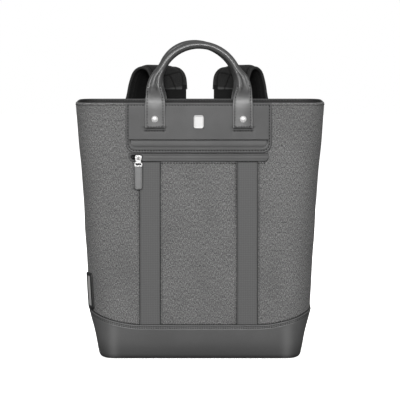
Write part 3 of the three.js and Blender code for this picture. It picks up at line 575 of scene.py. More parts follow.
# %% Mesh helpers
def add_piece(
    name, points, faces, finishes, stands_for=(), lay=None, shade=None, kinds=None,
    crease=42.0,
):
    """Adds one closed mesh to the bag. kinds gives each face's finish when there are several."""
    points = np.asarray(points, float).reshape(-1, 3)
    mesh = bpy.data.meshes.new(name)
    mesh.from_pydata(points.tolist(), [], [tuple(int(i) for i in face) for face in faces])
    for material in finishes if isinstance(finishes, list) else [finishes]:
        mesh.materials.append(material)
    if kinds is not None:
        mesh.polygons.foreach_set("material_index", np.asarray(kinds, np.int32))
    flat_place = points if lay is None else np.asarray(lay, float)
    cloth_place = mesh.attributes.new("lay", "FLOAT_VECTOR", "POINT")
    cloth_place.data.foreach_set("vector", flat_place.astype(np.float32).ravel())
    if shade is not None:
        depth = mesh.attributes.new("shade", "FLOAT", "POINT")
        depth.data.foreach_set("value", np.asarray(shade, np.float32).ravel())
    outward = bmesh.new()
    outward.from_mesh(mesh)
    bmesh.ops.recalc_face_normals(outward, faces=outward.faces)
    outward.to_mesh(mesh)
    outward.free()
    mesh.shade_smooth()
    mesh.set_sharp_from_angle(angle=math.radians(crease))
    piece = bpy.data.objects.new(name, mesh)
    bpy.context.scene.collection.objects.link(piece)
    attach(piece, "root")
    if stands_for:
        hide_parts(*stands_for)
    return piece


# %% Sheets and skins
def grid_faces(columns, rows, start, wrap):
    """Quads between neighbouring points of a grid, stored column by column."""
    faces = []
    for column in range(columns if wrap else columns - 1):
        beside = (column + 1) % columns
        for row in range(rows - 1):
            a, b = start + column * rows + row, start + beside * rows + row
            faces.append((a, b, b + 1, a + 1))
    return faces


def slab(outer, inner, wrap=False, floor=False):
    """Points and faces of a sheet between two grids [column, row], closed round its edges.

    A sheet that wraps round can have a floor: both of its faces then meet in their own middle
    point at the foot, and the last two points are these middles.
    """
    columns, rows = outer.shape[:2]
    count = columns * rows
    points = np.concatenate([outer.reshape(-1, 3), inner.reshape(-1, 3)])
    faces = grid_faces(columns, rows, 0, wrap) + grid_faces(columns, rows, count, wrap)
    if floor:
        middles = [outer[:, 0].mean(axis=0), inner[:, 0].mean(axis=0)]
        points = np.concatenate([points, middles])
    for column in range(columns if wrap else columns - 1):
        a, b = column * rows, ((column + 1) % columns) * rows
        top_a, top_b = a + rows - 1, b + rows - 1
        faces.append((top_a, top_b, top_b + count, top_a + count))
        if floor:
            faces += [(a, 2 * count, b), (a + count, 2 * count + 1, b + count)]
        else:
            faces.append((a, a + count, b + count, b))
    if not wrap:
        last = (columns - 1) * rows
        for row in range(rows - 1):
            a = last + row
            faces.append((row, row + 1, row + 1 + count, row + count))
            faces.append((a, a + count, a + 1 + count, a + 1))
    return points, faces


def ring_skin(rings):
    """Points and faces of a skin over rings [ring, side], closed with a fan at each end."""
    count, sides = rings.shape[:2]
    points = np.concatenate([rings.reshape(-1, 3), rings[[0, -1]].mean(axis=1)])
    faces = []
    for ring in range(count - 1):
        for side in range(sides):
            a, b = ring * sides + side, ring * sides + (side + 1) % sides
            faces.append((a, b, b + sides, a + sides))
    last = (count - 1) * sides
    for side in range(sides):
        beside = (side + 1) % sides
        faces.append((beside, side, count * sides))
        faces.append((last + side, last + beside, count * sides + 1))
    return points, faces


def add_sheet(name, outer, inner, flat, finish, node, shade=None):
    """Adds a sheet between two grids, which stands for a solid.

    flat holds where its points lie across and along the flat cloth, and shade is the same on
    both of its faces.
    """
    points, faces = slab(outer, inner)
    lay = np.stack(np.broadcast_arrays(*flat, 0.0), axis=-1)
    both = None if shade is None else np.stack([shade, shade])
    return add_piece(name, points, faces, finish, [node], np.stack([lay, lay]), both)


# %% Rows and columns that crowd at edges
EDGE_STEPS = np.array([0.0, 0.12, 0.35, 0.7, 1.2, 1.9]) * MM


def spaced(*stops, step):
    """Places from the first stop to the last, close together beside every stop."""
    places = []
    for low, high in zip(stops[:-1], stops[1:]):
        width = high - low
        edge = EDGE_STEPS[EDGE_STEPS < width * 0.4]
        inner_low, inner_high = low + edge[-1], high - edge[-1]
        count = max(1, math.ceil((inner_high - inner_low) / step))
        between = np.linspace(inner_low, inner_high, count + 1)
        places.append(np.concatenate([low + edge[:-1], between, (high - edge[:-1])[::-1]]))
    return np.unique(np.round(np.concatenate(places), 7))


def inside_distance(x, z, low, high, foot, head=0.0):
    """How far points lie inside a rounded rectangle: foot and head are its corner radii."""
    centre_x, centre_z = (low[0] + high[0]) / 2, (low[1] + high[1]) / 2
    half_x, half_z = (high[0] - low[0]) / 2, (high[1] - low[1]) / 2
    radius = np.where(z < centre_z, foot, head)
    over_x = np.abs(x - centre_x) - (half_x - radius)
    over_z = np.abs(z - centre_z) - (half_z - radius)
    outside = np.hypot(np.maximum(over_x, 0.0), np.maximum(over_z, 0.0))
    return radius - outside - np.minimum(np.maximum(over_x, over_z), 0.0)


def round_edge(distance, thickness, radius, edge_share=0.3):
    """Lift of a sheet's face: full inside and rounded down towards its outline."""
    near = 1 - np.clip(distance / radius, 0.0, 1.0)
    return thickness * (edge_share + (1 - edge_share) * np.sqrt(1 - near**2))


def turned_in(below, depth, radius):
    """How far a turned edge falls back: by depth at the edge and by nothing a radius below it."""
    return depth * (1 - np.sqrt(1 - np.clip(1 - below / radius, 0.0, 1.0) ** 2))


def outline_grid(low, high, foot, head, columns, rows):
    """Grid of x and z that follows a rounded rectangle: rows shrink where the corners round."""
    z = np.broadcast_to(rows, (len(columns), len(rows)))
    below = np.clip(foot - (rows - low[1]), 0.0, foot)
    above = np.clip(head - (high[1] - rows), 0.0, head)
    inset = foot - np.sqrt(foot**2 - below**2) + head - np.sqrt(head**2 - above**2)
    centre, half = (low[0] + high[0]) / 2, (high[0] - low[0]) / 2
    share = (columns - centre) / half
    x = centre + share[:, None] * (half - inset[None, :])
    return x, z


# %% [markdown]
# ## Stitches
#
# A lockstitch shows as a row of short thread bars, each pulled into the cloth at both ends. They
# are real geometry here: slim bars with pointed ends, laid along a path that follows the piece.


# %% Rows of stitches
STITCH_PITCH = 4.5 * MM
STITCH_LENGTH = 2.5 * MM
THREAD = 1.5 * MM
FINE_STITCH = {"pitch": 3.6 * MM, "length": 2.2 * MM, "thread": 0.9 * MM}
ON_CLOTH = 0.05 * MM
# A thread bar's places along its length, in shares of the length, and its thickness there
BAR_PROFILE = [(-0.5, 0.0), (-0.42, 1.0), (0.42, 1.0), (0.5, 0.0)]
BAR_SIDES = 5
BAR_FLATNESS = 0.8


def resampled(path, pitch):
    """Evenly spaced places along a path, with the direction of the path at each."""
    steps = np.linalg.norm(np.diff(path, axis=0), axis=1)
    way = np.concatenate([[0.0], np.cumsum(steps)])
    count = max(1, round(way[-1] / pitch))
    at = (np.arange(count) + 0.5) * way[-1] / count

    def place_at(distance):
        return np.stack([np.interp(distance, way, path[:, k]) for k in range(3)], axis=1)

    along = place_at(at + 0.2 * MM) - place_at(at - 0.2 * MM)
    return place_at(at), along / np.linalg.norm(along, axis=1, keepdims=True), at, way


def stitch_bars(path, normals, pitch=STITCH_PITCH, length=STITCH_LENGTH, thread=THREAD):
    """Points and faces of the thread bars along a path on a surface with these normals."""
    path, normals = np.asarray(path), np.asarray(normals)
    middle, along, at, way = resampled(path, pitch)
    up = np.stack([np.interp(at, way, normals[:, k]) for k in range(3)], axis=1)
    across = np.cross(along, up)
    across /= np.linalg.norm(across, axis=1, keepdims=True)
    up = np.cross(across, along)
    points, faces = [], []
    angles = 2 * math.pi * (np.arange(BAR_SIDES) + 0.5) / BAR_SIDES
    for place, forward, side, out in zip(middle, along, across, up):
        start = len(points)
        for share, fat in BAR_PROFILE:
            centre = place + forward * share * length + out * thread * (0.3 * fat - 0.15)
            if fat == 0.0:
                points.append(centre)
            else:
                for angle in angles:
                    spoke = side * math.cos(angle) + out * BAR_FLATNESS * math.sin(angle)
                    points.append(centre + spoke * thread * fat / 2)
        tail, near = start, start + 1
        far, tip = near + BAR_SIDES, near + 2 * BAR_SIDES
        for k in range(BAR_SIDES):
            beside = (k + 1) % BAR_SIDES
            faces.append((tail, near + beside, near + k))
            faces.append((near + k, near + beside, far + beside, far + k))
            faces.append((tip, far + k, far + beside))
    return points, faces


class StitchWork:
    """Collects rows of stitches and adds them as one piece."""

    def __init__(self):
        self.points = []
        self.faces = []

    def row(self, path, normals, **sizes):
        points, faces = stitch_bars(path, normals, **sizes)
        start = len(self.points)
        self.points += points
        self.faces += [tuple(start + i for i in face) for face in faces]

    def on_body(self, run, z, out, **sizes):
        run, z = np.broadcast_arrays(np.asarray(run, float), np.asarray(z, float))
        self.row(body_point(run, z, out), body_normal(run, z), **sizes)

    def finish(self, name, material, slot):
        add_piece(name, self.points, self.faces, material, crease=80.0)
        print(f"{name}: {len(self.faces) // (3 * BAR_SIDES)} stitches")


# %% [markdown]
# ## Cloth walls
#
# The front, back and side walls are one cloth, joined by upright seams. Cloth on a bag that stands
# empty is never quite flat, so the walls get shallow waves that die out towards the seams, and a
# rolled rim where the cloth is turned in. A finer grid on the same surface as the solids is enough:
# nothing here folds, so a simulation would add nothing.

# %% Lines and waves in the cloth
STRIP_LEFT, STRIP_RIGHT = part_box("strip_left"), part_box("strip_right")
STRIP_EDGES = [STRIP_LEFT[0].x, STRIP_LEFT[1].x, STRIP_RIGHT[0].x, STRIP_RIGHT[1].x]
STRIP_TOP = STRIP_LEFT[1].z
FRONT_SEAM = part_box("front_panel")[1].x
BACK_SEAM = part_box("back_panel")[1].x
WALL_STEP = 2.6 * MM
# The columns of a side wall are laid out for this width and then fitted to the real one
SIDE_LAYOUT = 200 * MM
SEAM_TUCK = 0.9 * MM
SEAM_TUCK_FROM = 0.965
RIM_ROLL = 1.6 * MM
RIM_STITCH_DROP = 3.6 * MM
TOPSTITCH_OUT = 2.9 * MM


def line(distance, width):
    """1 on a line and 0 away from it, with soft sides."""
    return np.exp(-((distance / width) ** 2))


def soft_waves(run, z, seed, size=1.1 * MM):
    """Shallow waves of slack cloth, nearly nothing at the rim and at the base seam."""
    calm = np.sin(math.pi * np.clip((z - SEAM_HEIGHT) / (BODY_HEIGHT - SEAM_HEIGHT), 0.0, 1.0))
    wave = np.sin(run * 31 + z * 9 + seed) * np.sin(z * 23 - run * 7 + 1.7 * seed)
    ripple = 0.4 * np.sin(run * 74 - z * 37 + 2.3 * seed) * np.sin(z * 51 + run * 17 + seed)
    return size * calm * (wave + ripple)


def wall_shade(run, z):
    """Painted shade beside the strips, at the topstitching next to them, above the base and at the
    rim's stitches, and a painted highlight along the rim's edge.
    """
    beside = sum(line(run - edge, 0.9 * MM) for edge in STRIP_EDGES)
    topstitched = [edge + side * TOPSTITCH_OUT for edge, side in zip(STRIP_EDGES, (-1, 1, -1, 1))]
    sewn = sum(line(run - place, 0.6 * MM) for place in topstitched)
    strips = (0.8 * beside + 0.35 * sewn) * (z < STRIP_TOP)
    seam = line(z - seam_height(run), 1.3 * MM)
    rim = 0.3 * line(rim_height(run) - RIM_STITCH_DROP - z, 0.8 * MM)
    painted_highlight = -0.25 * line(rim_height(run) - z, 1.1 * MM)
    return np.maximum(strips, seam) + rim + painted_highlight


# %% Walls
def add_wall(name, node, runs_at, seed):
    """One wall between the base seam and the rim; runs_at gives its columns at a height."""
    tall = BODY_HEIGHT - SEAM_HEIGHT
    shares = spaced(0.0, tall - RIM_STITCH_DROP, tall, step=WALL_STEP) / tall
    low = seam_height(runs_at(np.full(1, SEAM_HEIGHT))[:, 0])[:, None] + GAP
    high = rim_height(runs_at(np.full(1, BODY_HEIGHT))[:, 0])[:, None]
    z = lerp(low, high, shares[None, :])
    run = np.stack([runs_at(z[column])[column] for column in range(len(z))])
    roll = turned_in(high - z, RIM_ROLL, RIM_ROLL)
    across = np.linspace(-1, 1, len(z))[:, None]
    at_seam = np.clip((np.abs(across) - SEAM_TUCK_FROM) / (1 - SEAM_TUCK_FROM), 0.0, 1.0)
    out = soft_waves(run, z, seed) * (1 - across**6) - roll - SEAM_TUCK * at_seam**2
    outer, inner = body_point(run, z, out), body_point(run, z, -FABRIC)
    add_sheet(name, outer, inner, (run, z), wall_cloth, node, wall_shade(run, z))


def front_runs(z):
    inner = [STRIP_EDGES[1] + TOPSTITCH_OUT, STRIP_EDGES[2] - TOPSTITCH_OUT]
    columns = spaced(
        -FRONT_SEAM, STRIP_EDGES[1], inner[0], inner[1], STRIP_EDGES[2], FRONT_SEAM, step=WALL_STEP
    )
    return columns[:, None] + 0 * z


def back_runs(z):
    offs = spaced(-BACK_SEAM, BACK_SEAM, step=WALL_STEP)
    return np.stack([back_run(off, z) for off in offs])


def side_runs(side):
    edge = abs(STRIP_EDGES[0] if side < 0 else STRIP_EDGES[3]) - FRONT_SEAM - GAP
    shares = spaced(0.0, edge, edge + TOPSTITCH_OUT, SIDE_LAYOUT, step=WALL_STEP) / SIDE_LAYOUT

    def runs_at(z):
        half = section_at(z)[-1]
        start, end = FRONT_SEAM + GAP, half - BACK_SEAM - GAP
        near = start + shares[:, None] * SIDE_LAYOUT
        far = start + shares[:, None] * (end - start)
        return side * lerp(near, far, smoothstep(shares, 0.05, 0.5)[:, None])

    return runs_at


add_wall("cloth_front", "front_panel", front_runs, 1.0)
add_wall("cloth_back", "back_panel", back_runs, 2.0)
add_wall("cloth_side_left", "side_panel_left", side_runs(-1), 3.0)
add_wall("cloth_side_right", "side_panel_right", side_runs(1), 4.0)
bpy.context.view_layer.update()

# %% [markdown]
# ## Leather base
#
# The base is one moulded cup of thicker leather. Its corners are pressed over a former, so they
# are crisp at the foot and soften upwards, and its upper edge is folded, sewn over the cloth with
# a double row of stitches, and stands a little proud of it.

# %% Base
BASE_STEP = 2.4 * MM
BASE_FOLD = 1.4 * MM
BASE_LIFT = BASE_PROUD + 0.7 * MM
FOOT_ROLL = 26 * MM
FOOT_TUCK = 1.6 * MM
FLOOR_TOP = 2.6 * MM
CORNER_HIGHLIGHT_RUN = 135 * MM
BASE_ROWS = (2.6 * MM, 5.0 * MM)
ROW_SINK = 0.35 * MM
ROW_WIDTH = 0.8 * MM
CLOTH_ROW = 1.9 * MM


def loop_shares(count):
    """Columns all round the body, as shares of the way from the back's middle to itself."""
    return np.arange(count) / count - 0.5


def base_out(run, z, top):
    """How far the base's face stands out: folded at its top, tucked at its foot."""
    rolled = turned_in(top - z, 0.8 * BASE_PROUD, BASE_FOLD)
    groove = sum(ROW_SINK * line(top - z - row, ROW_WIDTH) for row in BASE_ROWS)
    tuck = FOOT_TUCK * np.clip(1 - z / FOOT_ROLL, 0.0, 1.0) ** 2
    waves = 0.3 * MM * np.sin(run * 19 + 1.0) * np.sin(math.pi * np.clip(z / top, 0, 1))
    return BASE_LIFT - rolled - groove - tuck + waves


# Painted shade in the grooves of the stitch rows, and painted highlights on the folded top edge,
# along the foot and down each front corner.
def base_shade(run, z, top):
    sewn = sum(0.25 * line(top - z - row, ROW_WIDTH) for row in BASE_ROWS)
    painted_highlight = 0.35 * line(top - z - 0.7 * MM, 0.6 * MM) + 0.5 * line(z - 1.2 * MM, 1.0 * MM)
    corner = 0.3 * line(np.abs(run) - CORNER_HIGHLIGHT_RUN, 10 * MM) * smoothstep(top - z, 2 * MM, 12 * MM)
    return sewn - painted_highlight - corner


def add_base():
    foot_rows = BASE_ROUND * (1 - np.cos(np.linspace(0.0, math.pi / 2, 7)))
    stitch_rows = [SEAM_HEIGHT - row for row in BASE_ROWS[::-1]]
    wall_rows = spaced(BASE_ROUND, *stitch_rows, SEAM_HEIGHT, step=2.2 * MM)
    rows = np.concatenate([foot_rows[:-1], wall_rows]) / SEAM_HEIGHT
    around = loop_shares(round(2 * HALF_SEAM / BASE_STEP))[:, None]
    top = seam_height(around * 2 * HALF_SEAM)
    z = lerp(0.0, top, rows[None, :])
    run = around * 2 * section_at(z)[-1]
    outer = body_point(run, z, base_out(run, z, top))
    inner_z = lerp(FLOOR_TOP, top, rows[None, :])
    inner = body_point(around * 2 * section_at(inner_z)[-1], inner_z, -FABRIC)
    points, faces = slab(outer, inner, wrap=True, floor=True)
    shade = np.concatenate([base_shade(run, z, top).ravel(), 0 * z.ravel(), [0.0, 0.0]])
    return add_piece(
        "leather_base", points, faces, base_leather, ["base_cup"], shade=shade
    )


base = add_base()
print("base:", len(base.data.polygons), "faces")

# %% Base stitches
base_work = StitchWork()
around = np.linspace(-HALF_SEAM, HALF_SEAM, 900)
for row in BASE_ROWS:
    base_work.on_body(around, seam_height(around) - row, BASE_LIFT - 0.2 * MM, **FINE_STITCH)
base_work.on_body(around, seam_height(around) + CLOTH_ROW, ON_CLOTH, **FINE_STITCH)
base_work.finish("base_stitches", dark_thread, "leather")

# %% [markdown]
# ## Inside
#
# The bag is lined with a plain dark cloth. At the rim a leather facing hides the raw edges; it is
# the dark band that shows inside the back wall when the bag is seen from the front, and it carries
# the same row of stitches as the outside of the rim.

# %% Lining and facing
FACING_DEPTH = 34 * MM
LINING_OUT = -FABRIC - 0.6 * MM
LINING_THICK = 1.0 * MM
LINING_SAG = 1.2 * MM
FACING_THICK = 1.8 * MM
FACING_ROLL = 0.9 * MM
LOOP_COLUMNS = 420


def inside_grid(low, high, rows):
    """Runs and heights of a closed loop of columns between heights that depend on the run."""
    around = loop_shares(LOOP_COLUMNS)
    rim_runs = around * 2 * HALF_RIM
    z = lerp(low(rim_runs)[:, None], high(rim_runs)[:, None], rows[None, :])
    return around[:, None] * 2 * section_at(z)[-1], z


def lining_foot(run):
    return np.full(run.shape, FLOOR_TOP + 1.6 * MM)


def lining_head(run):
    return rim_height(run) - 3 * MM


def facing_foot(run):
    return rim_height(run) - FACING_DEPTH


def facing_head(run):
    return rim_height(run) + 0.4 * MM


def add_lining():
    run, z = inside_grid(lining_foot, lining_head, np.linspace(0.0, 1.0, 60))
    sag = soft_waves(run, z, 7.0, LINING_SAG) - LINING_SAG
    inner = body_point(run, np.maximum(z, FLOOR_TOP + 2.6 * MM), LINING_OUT - LINING_THICK + sag)
    points, faces = slab(body_point(run, z, LINING_OUT), inner, wrap=True, floor=True)
    sheet = np.stack([run, z, 0 * z], axis=-1).reshape(-1, 3)
    lay = np.concatenate([sheet, sheet, np.zeros((2, 3))])
    return add_piece("lining_bag", points, faces, inner_cloth, ["lining"], lay)


def add_facing():
    rows = spaced(0.0, FACING_DEPTH - RIM_STITCH_DROP, FACING_DEPTH, step=3 * MM) / FACING_DEPTH
    run, z = inside_grid(facing_foot, facing_head, rows)
    top = facing_head(run)
    roll = turned_in(top - z, FACING_ROLL, FACING_ROLL)
    against_wall = -FABRIC + 0.1 * MM
    inner = body_point(run, z, against_wall - FACING_THICK + roll)
    points, faces = slab(body_point(run, z, against_wall), inner, wrap=True)
    return add_piece("rim_facing", points, faces, facing_leather)


add_lining()
add_facing()
print("inside: lining and facing")

# %% Rim stitches
rim_work = StitchWork()
rim_around = np.linspace(-HALF_RIM, HALF_RIM, 1200)
rim_z = rim_height(rim_around) - RIM_STITCH_DROP
yoke_low, yoke_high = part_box("front_yoke")
for low, high in ((-HALF_RIM, yoke_low.x - GAP), (yoke_high.x + GAP, HALF_RIM)):
    part = (rim_around > low) & (rim_around < high)
    rim_work.on_body(rim_around[part], rim_z[part], ON_CLOTH, **FINE_STITCH)
rim_work.row(
    body_point(rim_around, rim_z + 1.2 * MM, -FABRIC - 1.75 * MM),
    -body_normal(rim_around, rim_z),
)
rim_work.finish("rim_stitches", dark_thread, "fabric")

# %% [markdown]
# ## Webbing strips
#
# Two ribbed webbing strips run down the front and cover the seams between the walls. Each is
# sewn along both edges, and the cloth beside it is turned and topstitched, which draws the fine
# double line outside the strip. A sheet on the front is a grid inside a rounded outline, so one
# helper makes the strips, the yoke, the band, the flap and the plate.


# %% Sheets on the front
def front_box(node, grow=0.0):
    """Lower left and upper right corner of a solid in x and z, moved outwards by grow."""
    low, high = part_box(node)
    return (low.x - grow, low.z - grow), (high.x + grow, high.z + grow)


def front_sheet(
    name, node, box, corners, lift, finish, relief=None, shade=None, stops=((), ()),
    step=2.5 * MM, under=GAP, edge=1.2 * MM,
):
    """A sheet on the front with a rounded outline, which stands for a solid.

    box holds its lower left and upper right corner, corners its foot and head radius. relief
    lowers its face and shade colours it, both as functions of x and z. stops are the places
    across and up where the grid is fine.
    """
    low, high = box
    columns = spaced(low[0], *stops[0], high[0], step=step)
    rows = spaced(low[1], *stops[1], high[1], step=step)
    x, z = outline_grid(low, high, *corners, columns, rows)
    rise = round_edge(inside_distance(x, z, low, high, *corners), lift, edge)
    if relief:
        rise = rise - relief(x, z)
    outer, inner = body_point(x, z, under + rise), body_point(x, z, under)
    tones = shade(x, z) if shade else 0 * x
    add_sheet(name, outer, inner, (x, z), finish, node, tones)


# %% Strips
STRIP_LIFT = 1.5 * MM
STRIP_STITCH = 1.7 * MM


# Painted shade along each strip's edges and at its ends, under the flap and above the base.
def strip_shade(x, z):
    inward = np.min([np.abs(x - edge) for edge in STRIP_EDGES], axis=0)
    ends = np.maximum(line(z - SEAM_HEIGHT, 1.5 * MM), line(z - STRIP_TOP, 1.5 * MM))
    return np.maximum(0.7 * line(inward, 0.7 * MM), 0.8 * ends)


strip_work = StitchWork()
for side, edges in (("left", STRIP_EDGES[:2]), ("right", STRIP_EDGES[2:])):
    box = (edges[0], SEAM_HEIGHT + 0.4 * MM), (edges[1], STRIP_TOP)
    front_sheet(
        f"webbing_{side}", f"strip_{side}", box, (0.0, 0.0), STRIP_LIFT, strip_webbing,
        shade=strip_shade, edge=0.9 * MM,
    )
    heights = np.linspace(SEAM_HEIGHT + 2 * MM, STRIP_TOP - 1 * MM, 300)
    for edge, outward in zip(edges, (-1, 1)):
        strip_work.on_body(edge - outward * STRIP_STITCH, heights, GAP + STRIP_LIFT, **FINE_STITCH)
        strip_work.on_body(edge + outward * TOPSTITCH_OUT, heights, 2 * ON_CLOTH, **FINE_STITCH)
strip_work.finish("strip_stitches", strip_thread, "webbing")

# %% [markdown]
# ## Yoke, band and zip flap
#
# The yoke is a leather panel sewn over the top of the front. A long window in its lower part shows
# a padded leather band that sits lower than the yoke, so the window's upper edge throws a dark
# line and its ends and lower edge catch the light; that dark line and those lit edges are also
# painted into the leather as shade and highlights. Under the yoke a leather flap covers the zip.

# %% Sizes of the yoke
YOKE_FOOT = 15 * MM
YOKE_THICK = 2.1 * MM
YOKE_STITCH = 3.5 * MM
BAND_FOOT = 9.5 * MM
BAND_DEEP = 1.9 * MM
BAND_SHOULDER = 2.6 * MM
SLIT_DROP = 3.8 * MM
# How deep the stitches, the slits under the handles and the pulls beside them sink the leather
SEWN_SINK, SLIT_SINK, PULL_SINK = 0.35 * MM, 0.7 * MM, 0.5 * MM
HANDLE_SHIFT = -1.6 * MM
TAB_REACH = 68.3 * MM
TAB_MIDDLES = (HANDLE_SHIFT - TAB_REACH, HANDLE_SHIFT + TAB_REACH)
TAB_HALF = 15 * MM
TAB_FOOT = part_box("handle_front")[0].z
yoke_box = front_box("front_yoke")
window_box = front_box("yoke_band", GAP)


# %% Relief and shade of the yoke
def window_depth(x, z):
    """How deep the window lies under the yoke's face: steep at its top, a shoulder elsewhere."""
    inside = inside_distance(x, z, *window_box, BAND_FOOT)
    top = window_box[1][1] - z
    shoulder = smoothstep(inside, 0.0, BAND_SHOULDER)
    return BAND_DEEP * np.where(inside < top - 0.1 * MM, shoulder, smoothstep(top, 0.0, 0.7 * MM))


def under_tabs(x, z):
    """Slits under the sewn ends of the handle and the small pulls beside them, 0 to 1 each."""
    slit, pull = 0.0, 0.0
    below = TAB_FOOT - z
    fade = np.exp(-np.clip(below - 3 * MM, 0.0, None) / (9 * MM)) * (below > -2 * MM)
    for middle in TAB_MIDDLES:
        beside = np.abs(x - middle) / TAB_HALF
        slit = slit + line(below - SLIT_DROP, 0.8 * MM) * (beside < 1.06)
        pull = pull + line(beside - 1.05, 0.2) * fade
    return slit, pull


def yoke_relief(x, z):
    slit, pull = under_tabs(x, z)
    sewn = line(inside_distance(x, z, *yoke_box, YOKE_FOOT) - YOKE_STITCH, 1.0 * MM)
    return window_depth(x, z) + SEWN_SINK * sewn + SLIT_SINK * slit + PULL_SINK * pull


# Painted shade and highlights of the yoke: a shadow under the window's upper lip, shade in the
# slits, the stitch groove, beside and just under each handle tab and at the pulls; highlights on
# the window's shoulder, a little below each tab and along the yoke's edge.
def yoke_shade(x, z):
    slit, pull = under_tabs(x, z)
    distance = inside_distance(x, z, *yoke_box, YOKE_FOOT)
    inside = inside_distance(x, z, *window_box, BAND_FOOT)
    under_lip = window_box[1][1] - z
    lip = line(under_lip - 0.6 * MM, 1.2 * MM) * (inside > -1.3 * MM)
    shoulder = line(inside - 1.2 * MM, 0.8 * MM) * smoothstep(under_lip, 2 * MM, 6 * MM)
    shadow_beside_tab, on_tab = 0.0, 0.0
    for middle in TAB_MIDDLES:
        gap = np.clip(np.abs(x - middle) - TAB_HALF, 0.0, None)
        shadow_beside_tab = shadow_beside_tab + np.exp(-gap / (1.1 * MM)) * (z > TAB_FOOT)
        on_tab = on_tab + (gap == 0.0)
    sewn = 0.1 * line(distance - YOKE_STITCH, 0.8 * MM)
    below = TAB_FOOT - z
    under_tab = (line(below - 0.3 * MM, 0.9 * MM) - 0.4 * line(below - 2.1 * MM, 0.8 * MM)) * on_tab
    dark = np.maximum(0.9 * lip, 0.3 * slit) + sewn + 0.4 * shadow_beside_tab + 0.15 * pull
    return dark + under_tab - 0.75 * shoulder - 0.45 * line(distance - 0.5 * MM, 0.7 * MM)


front_sheet(
    "leather_yoke", "front_yoke", yoke_box, (YOKE_FOOT, 0.0), YOKE_THICK, leather,
    relief=yoke_relief, shade=yoke_shade, step=1.3 * MM,
    stops=(
        (yoke_box[0][0] + YOKE_STITCH, window_box[0][0], window_box[1][0],
         yoke_box[1][0] - YOKE_STITCH),
        (yoke_box[0][1] + YOKE_STITCH, window_box[0][1], window_box[1][1], TAB_FOOT - SLIT_DROP),
    ),
)
print("yoke:", [[round(value / MM) for value in corner] for corner in yoke_box], "mm")

# %% Band and flap
band_low, band_high = front_box("yoke_band")
band_box = (
    (band_low[0] + 1.6 * MM, band_low[1] + 1.5 * MM),
    (band_high[0] - 1.6 * MM, band_high[1] - 0.4 * MM),
)
BAND_CORNERS = (BAND_FOOT - 2 * MM, 0.8 * MM)
BAND_PADDING = 0.55 * MM
flap_box = front_box("zip_band")
tape_box = front_box("zip_tape")
EYE_CORNERS = (3.6 * MM, 3.6 * MM)
EYE_DEEP = 1.5 * MM
FLAP_FOLD = 4.2 * MM
FOLD_SINK = 0.35 * MM


def band_relief(_, z):
    """The band is padded: its face leans out towards its lower edge."""
    share = (z - band_box[0][1]) / (band_box[1][1] - band_box[0][1])
    return -BAND_PADDING * np.sin(math.pi * np.clip(share, 0, 1) ** 0.7)


# Painted shade along the band's top, the shadow of the yoke's upper lip, and a painted highlight on
# its ends and lower edge.
def band_shade(x, z):
    inside = inside_distance(x, z, *band_box, *BAND_CORNERS)
    under_lip = band_box[1][1] - z
    painted_highlight = line(inside - 0.5 * MM, 0.8 * MM) * smoothstep(under_lip, 2 * MM, 6 * MM)
    return line(under_lip, 1.9 * MM) - 0.65 * painted_highlight


# %% Relief and shade of the flap
def eye_of_flap(x, z):
    """Distance inside the eye at the flap's left, and 1 where the leather is clear of it."""
    inside = inside_distance(x, z, *tape_box, *EYE_CORNERS)
    return inside, 1 - smoothstep(inside, -6 * MM, -2 * MM)


def flap_relief(x, z):
    """Two faint pressed folds along the flap and the eye of its window at the left."""
    below = flap_box[1][1] - z
    folds = line(below - FLAP_FOLD, 0.9 * MM) - 0.8 * line(below - FLAP_FOLD - 2.4 * MM, 0.9 * MM)
    inside, plain = eye_of_flap(x, z)
    return FOLD_SINK * folds * plain + EYE_DEEP * smoothstep(inside, -0.9 * MM, 0.5 * MM)


# Painted shade along the flap's top, under the yoke's lower edge, and round the eye; painted shade
# and a painted highlight on the pressed folds; a painted highlight on the flap's ends and lower
# edge.
def flap_shade(x, z):
    below = flap_box[1][1] - z
    inside, plain = eye_of_flap(x, z)
    folds = 0.3 * line(below - FLAP_FOLD, 0.8 * MM)
    folds = folds - 0.25 * line(below - FLAP_FOLD - 2.0 * MM, 0.8 * MM)
    edge = inside_distance(x, z, *flap_box, YOKE_FOOT / 2)
    painted_highlight = 0.35 * line(edge - 0.6 * MM, 0.7 * MM) * smoothstep(below, 1 * MM, 4 * MM)
    return 0.85 * line(below, 1.4 * MM) + plain * folds - painted_highlight + 0.6 * line(inside, 0.9 * MM)


front_sheet(
    "leather_band", "yoke_band", band_box, BAND_CORNERS, 0.8 * MM, leather,
    relief=band_relief, shade=band_shade, step=1.5 * MM, under=0.5 * MM, edge=1.6 * MM,
)
front_sheet(
    "leather_flap", "zip_band", flap_box, (6 * MM, 0.0), 1.9 * MM, leather,
    relief=flap_relief, shade=flap_shade, step=1.2 * MM, edge=1.0 * MM,
)
print("band and flap added")

# %% Stitches on the yoke and under the flap
yoke_work = StitchWork()


def rounded_path(box, foot, inset):
    """Points of a rounded outline, inset from it: down the left, along the foot, up the right."""
    (left, bottom), (right, top) = box
    left, right, bottom, top = left + inset, right - inset, bottom + inset, top - inset
    radius = foot - inset
    turn = np.linspace(0.0, math.pi / 2, 12)
    down = np.linspace(top, bottom + radius, 20)
    foot_x = np.linspace(left + radius, right - radius, 60)
    x = [
        np.full(len(down), left), left + radius * (1 - np.cos(turn)), foot_x,
        right - radius * (1 - np.sin(turn)), np.full(len(down), right),
    ]
    z = [
        down, bottom + radius * (1 - np.sin(turn)), np.full(len(foot_x), bottom),
        bottom + radius * (1 - np.cos(turn)), down[::-1],
    ]
    x, z = np.concatenate(x), np.concatenate(z)
    keep = np.concatenate([[True], np.hypot(np.diff(x), np.diff(z)) > 1e-6])
    return x[keep], z[keep]


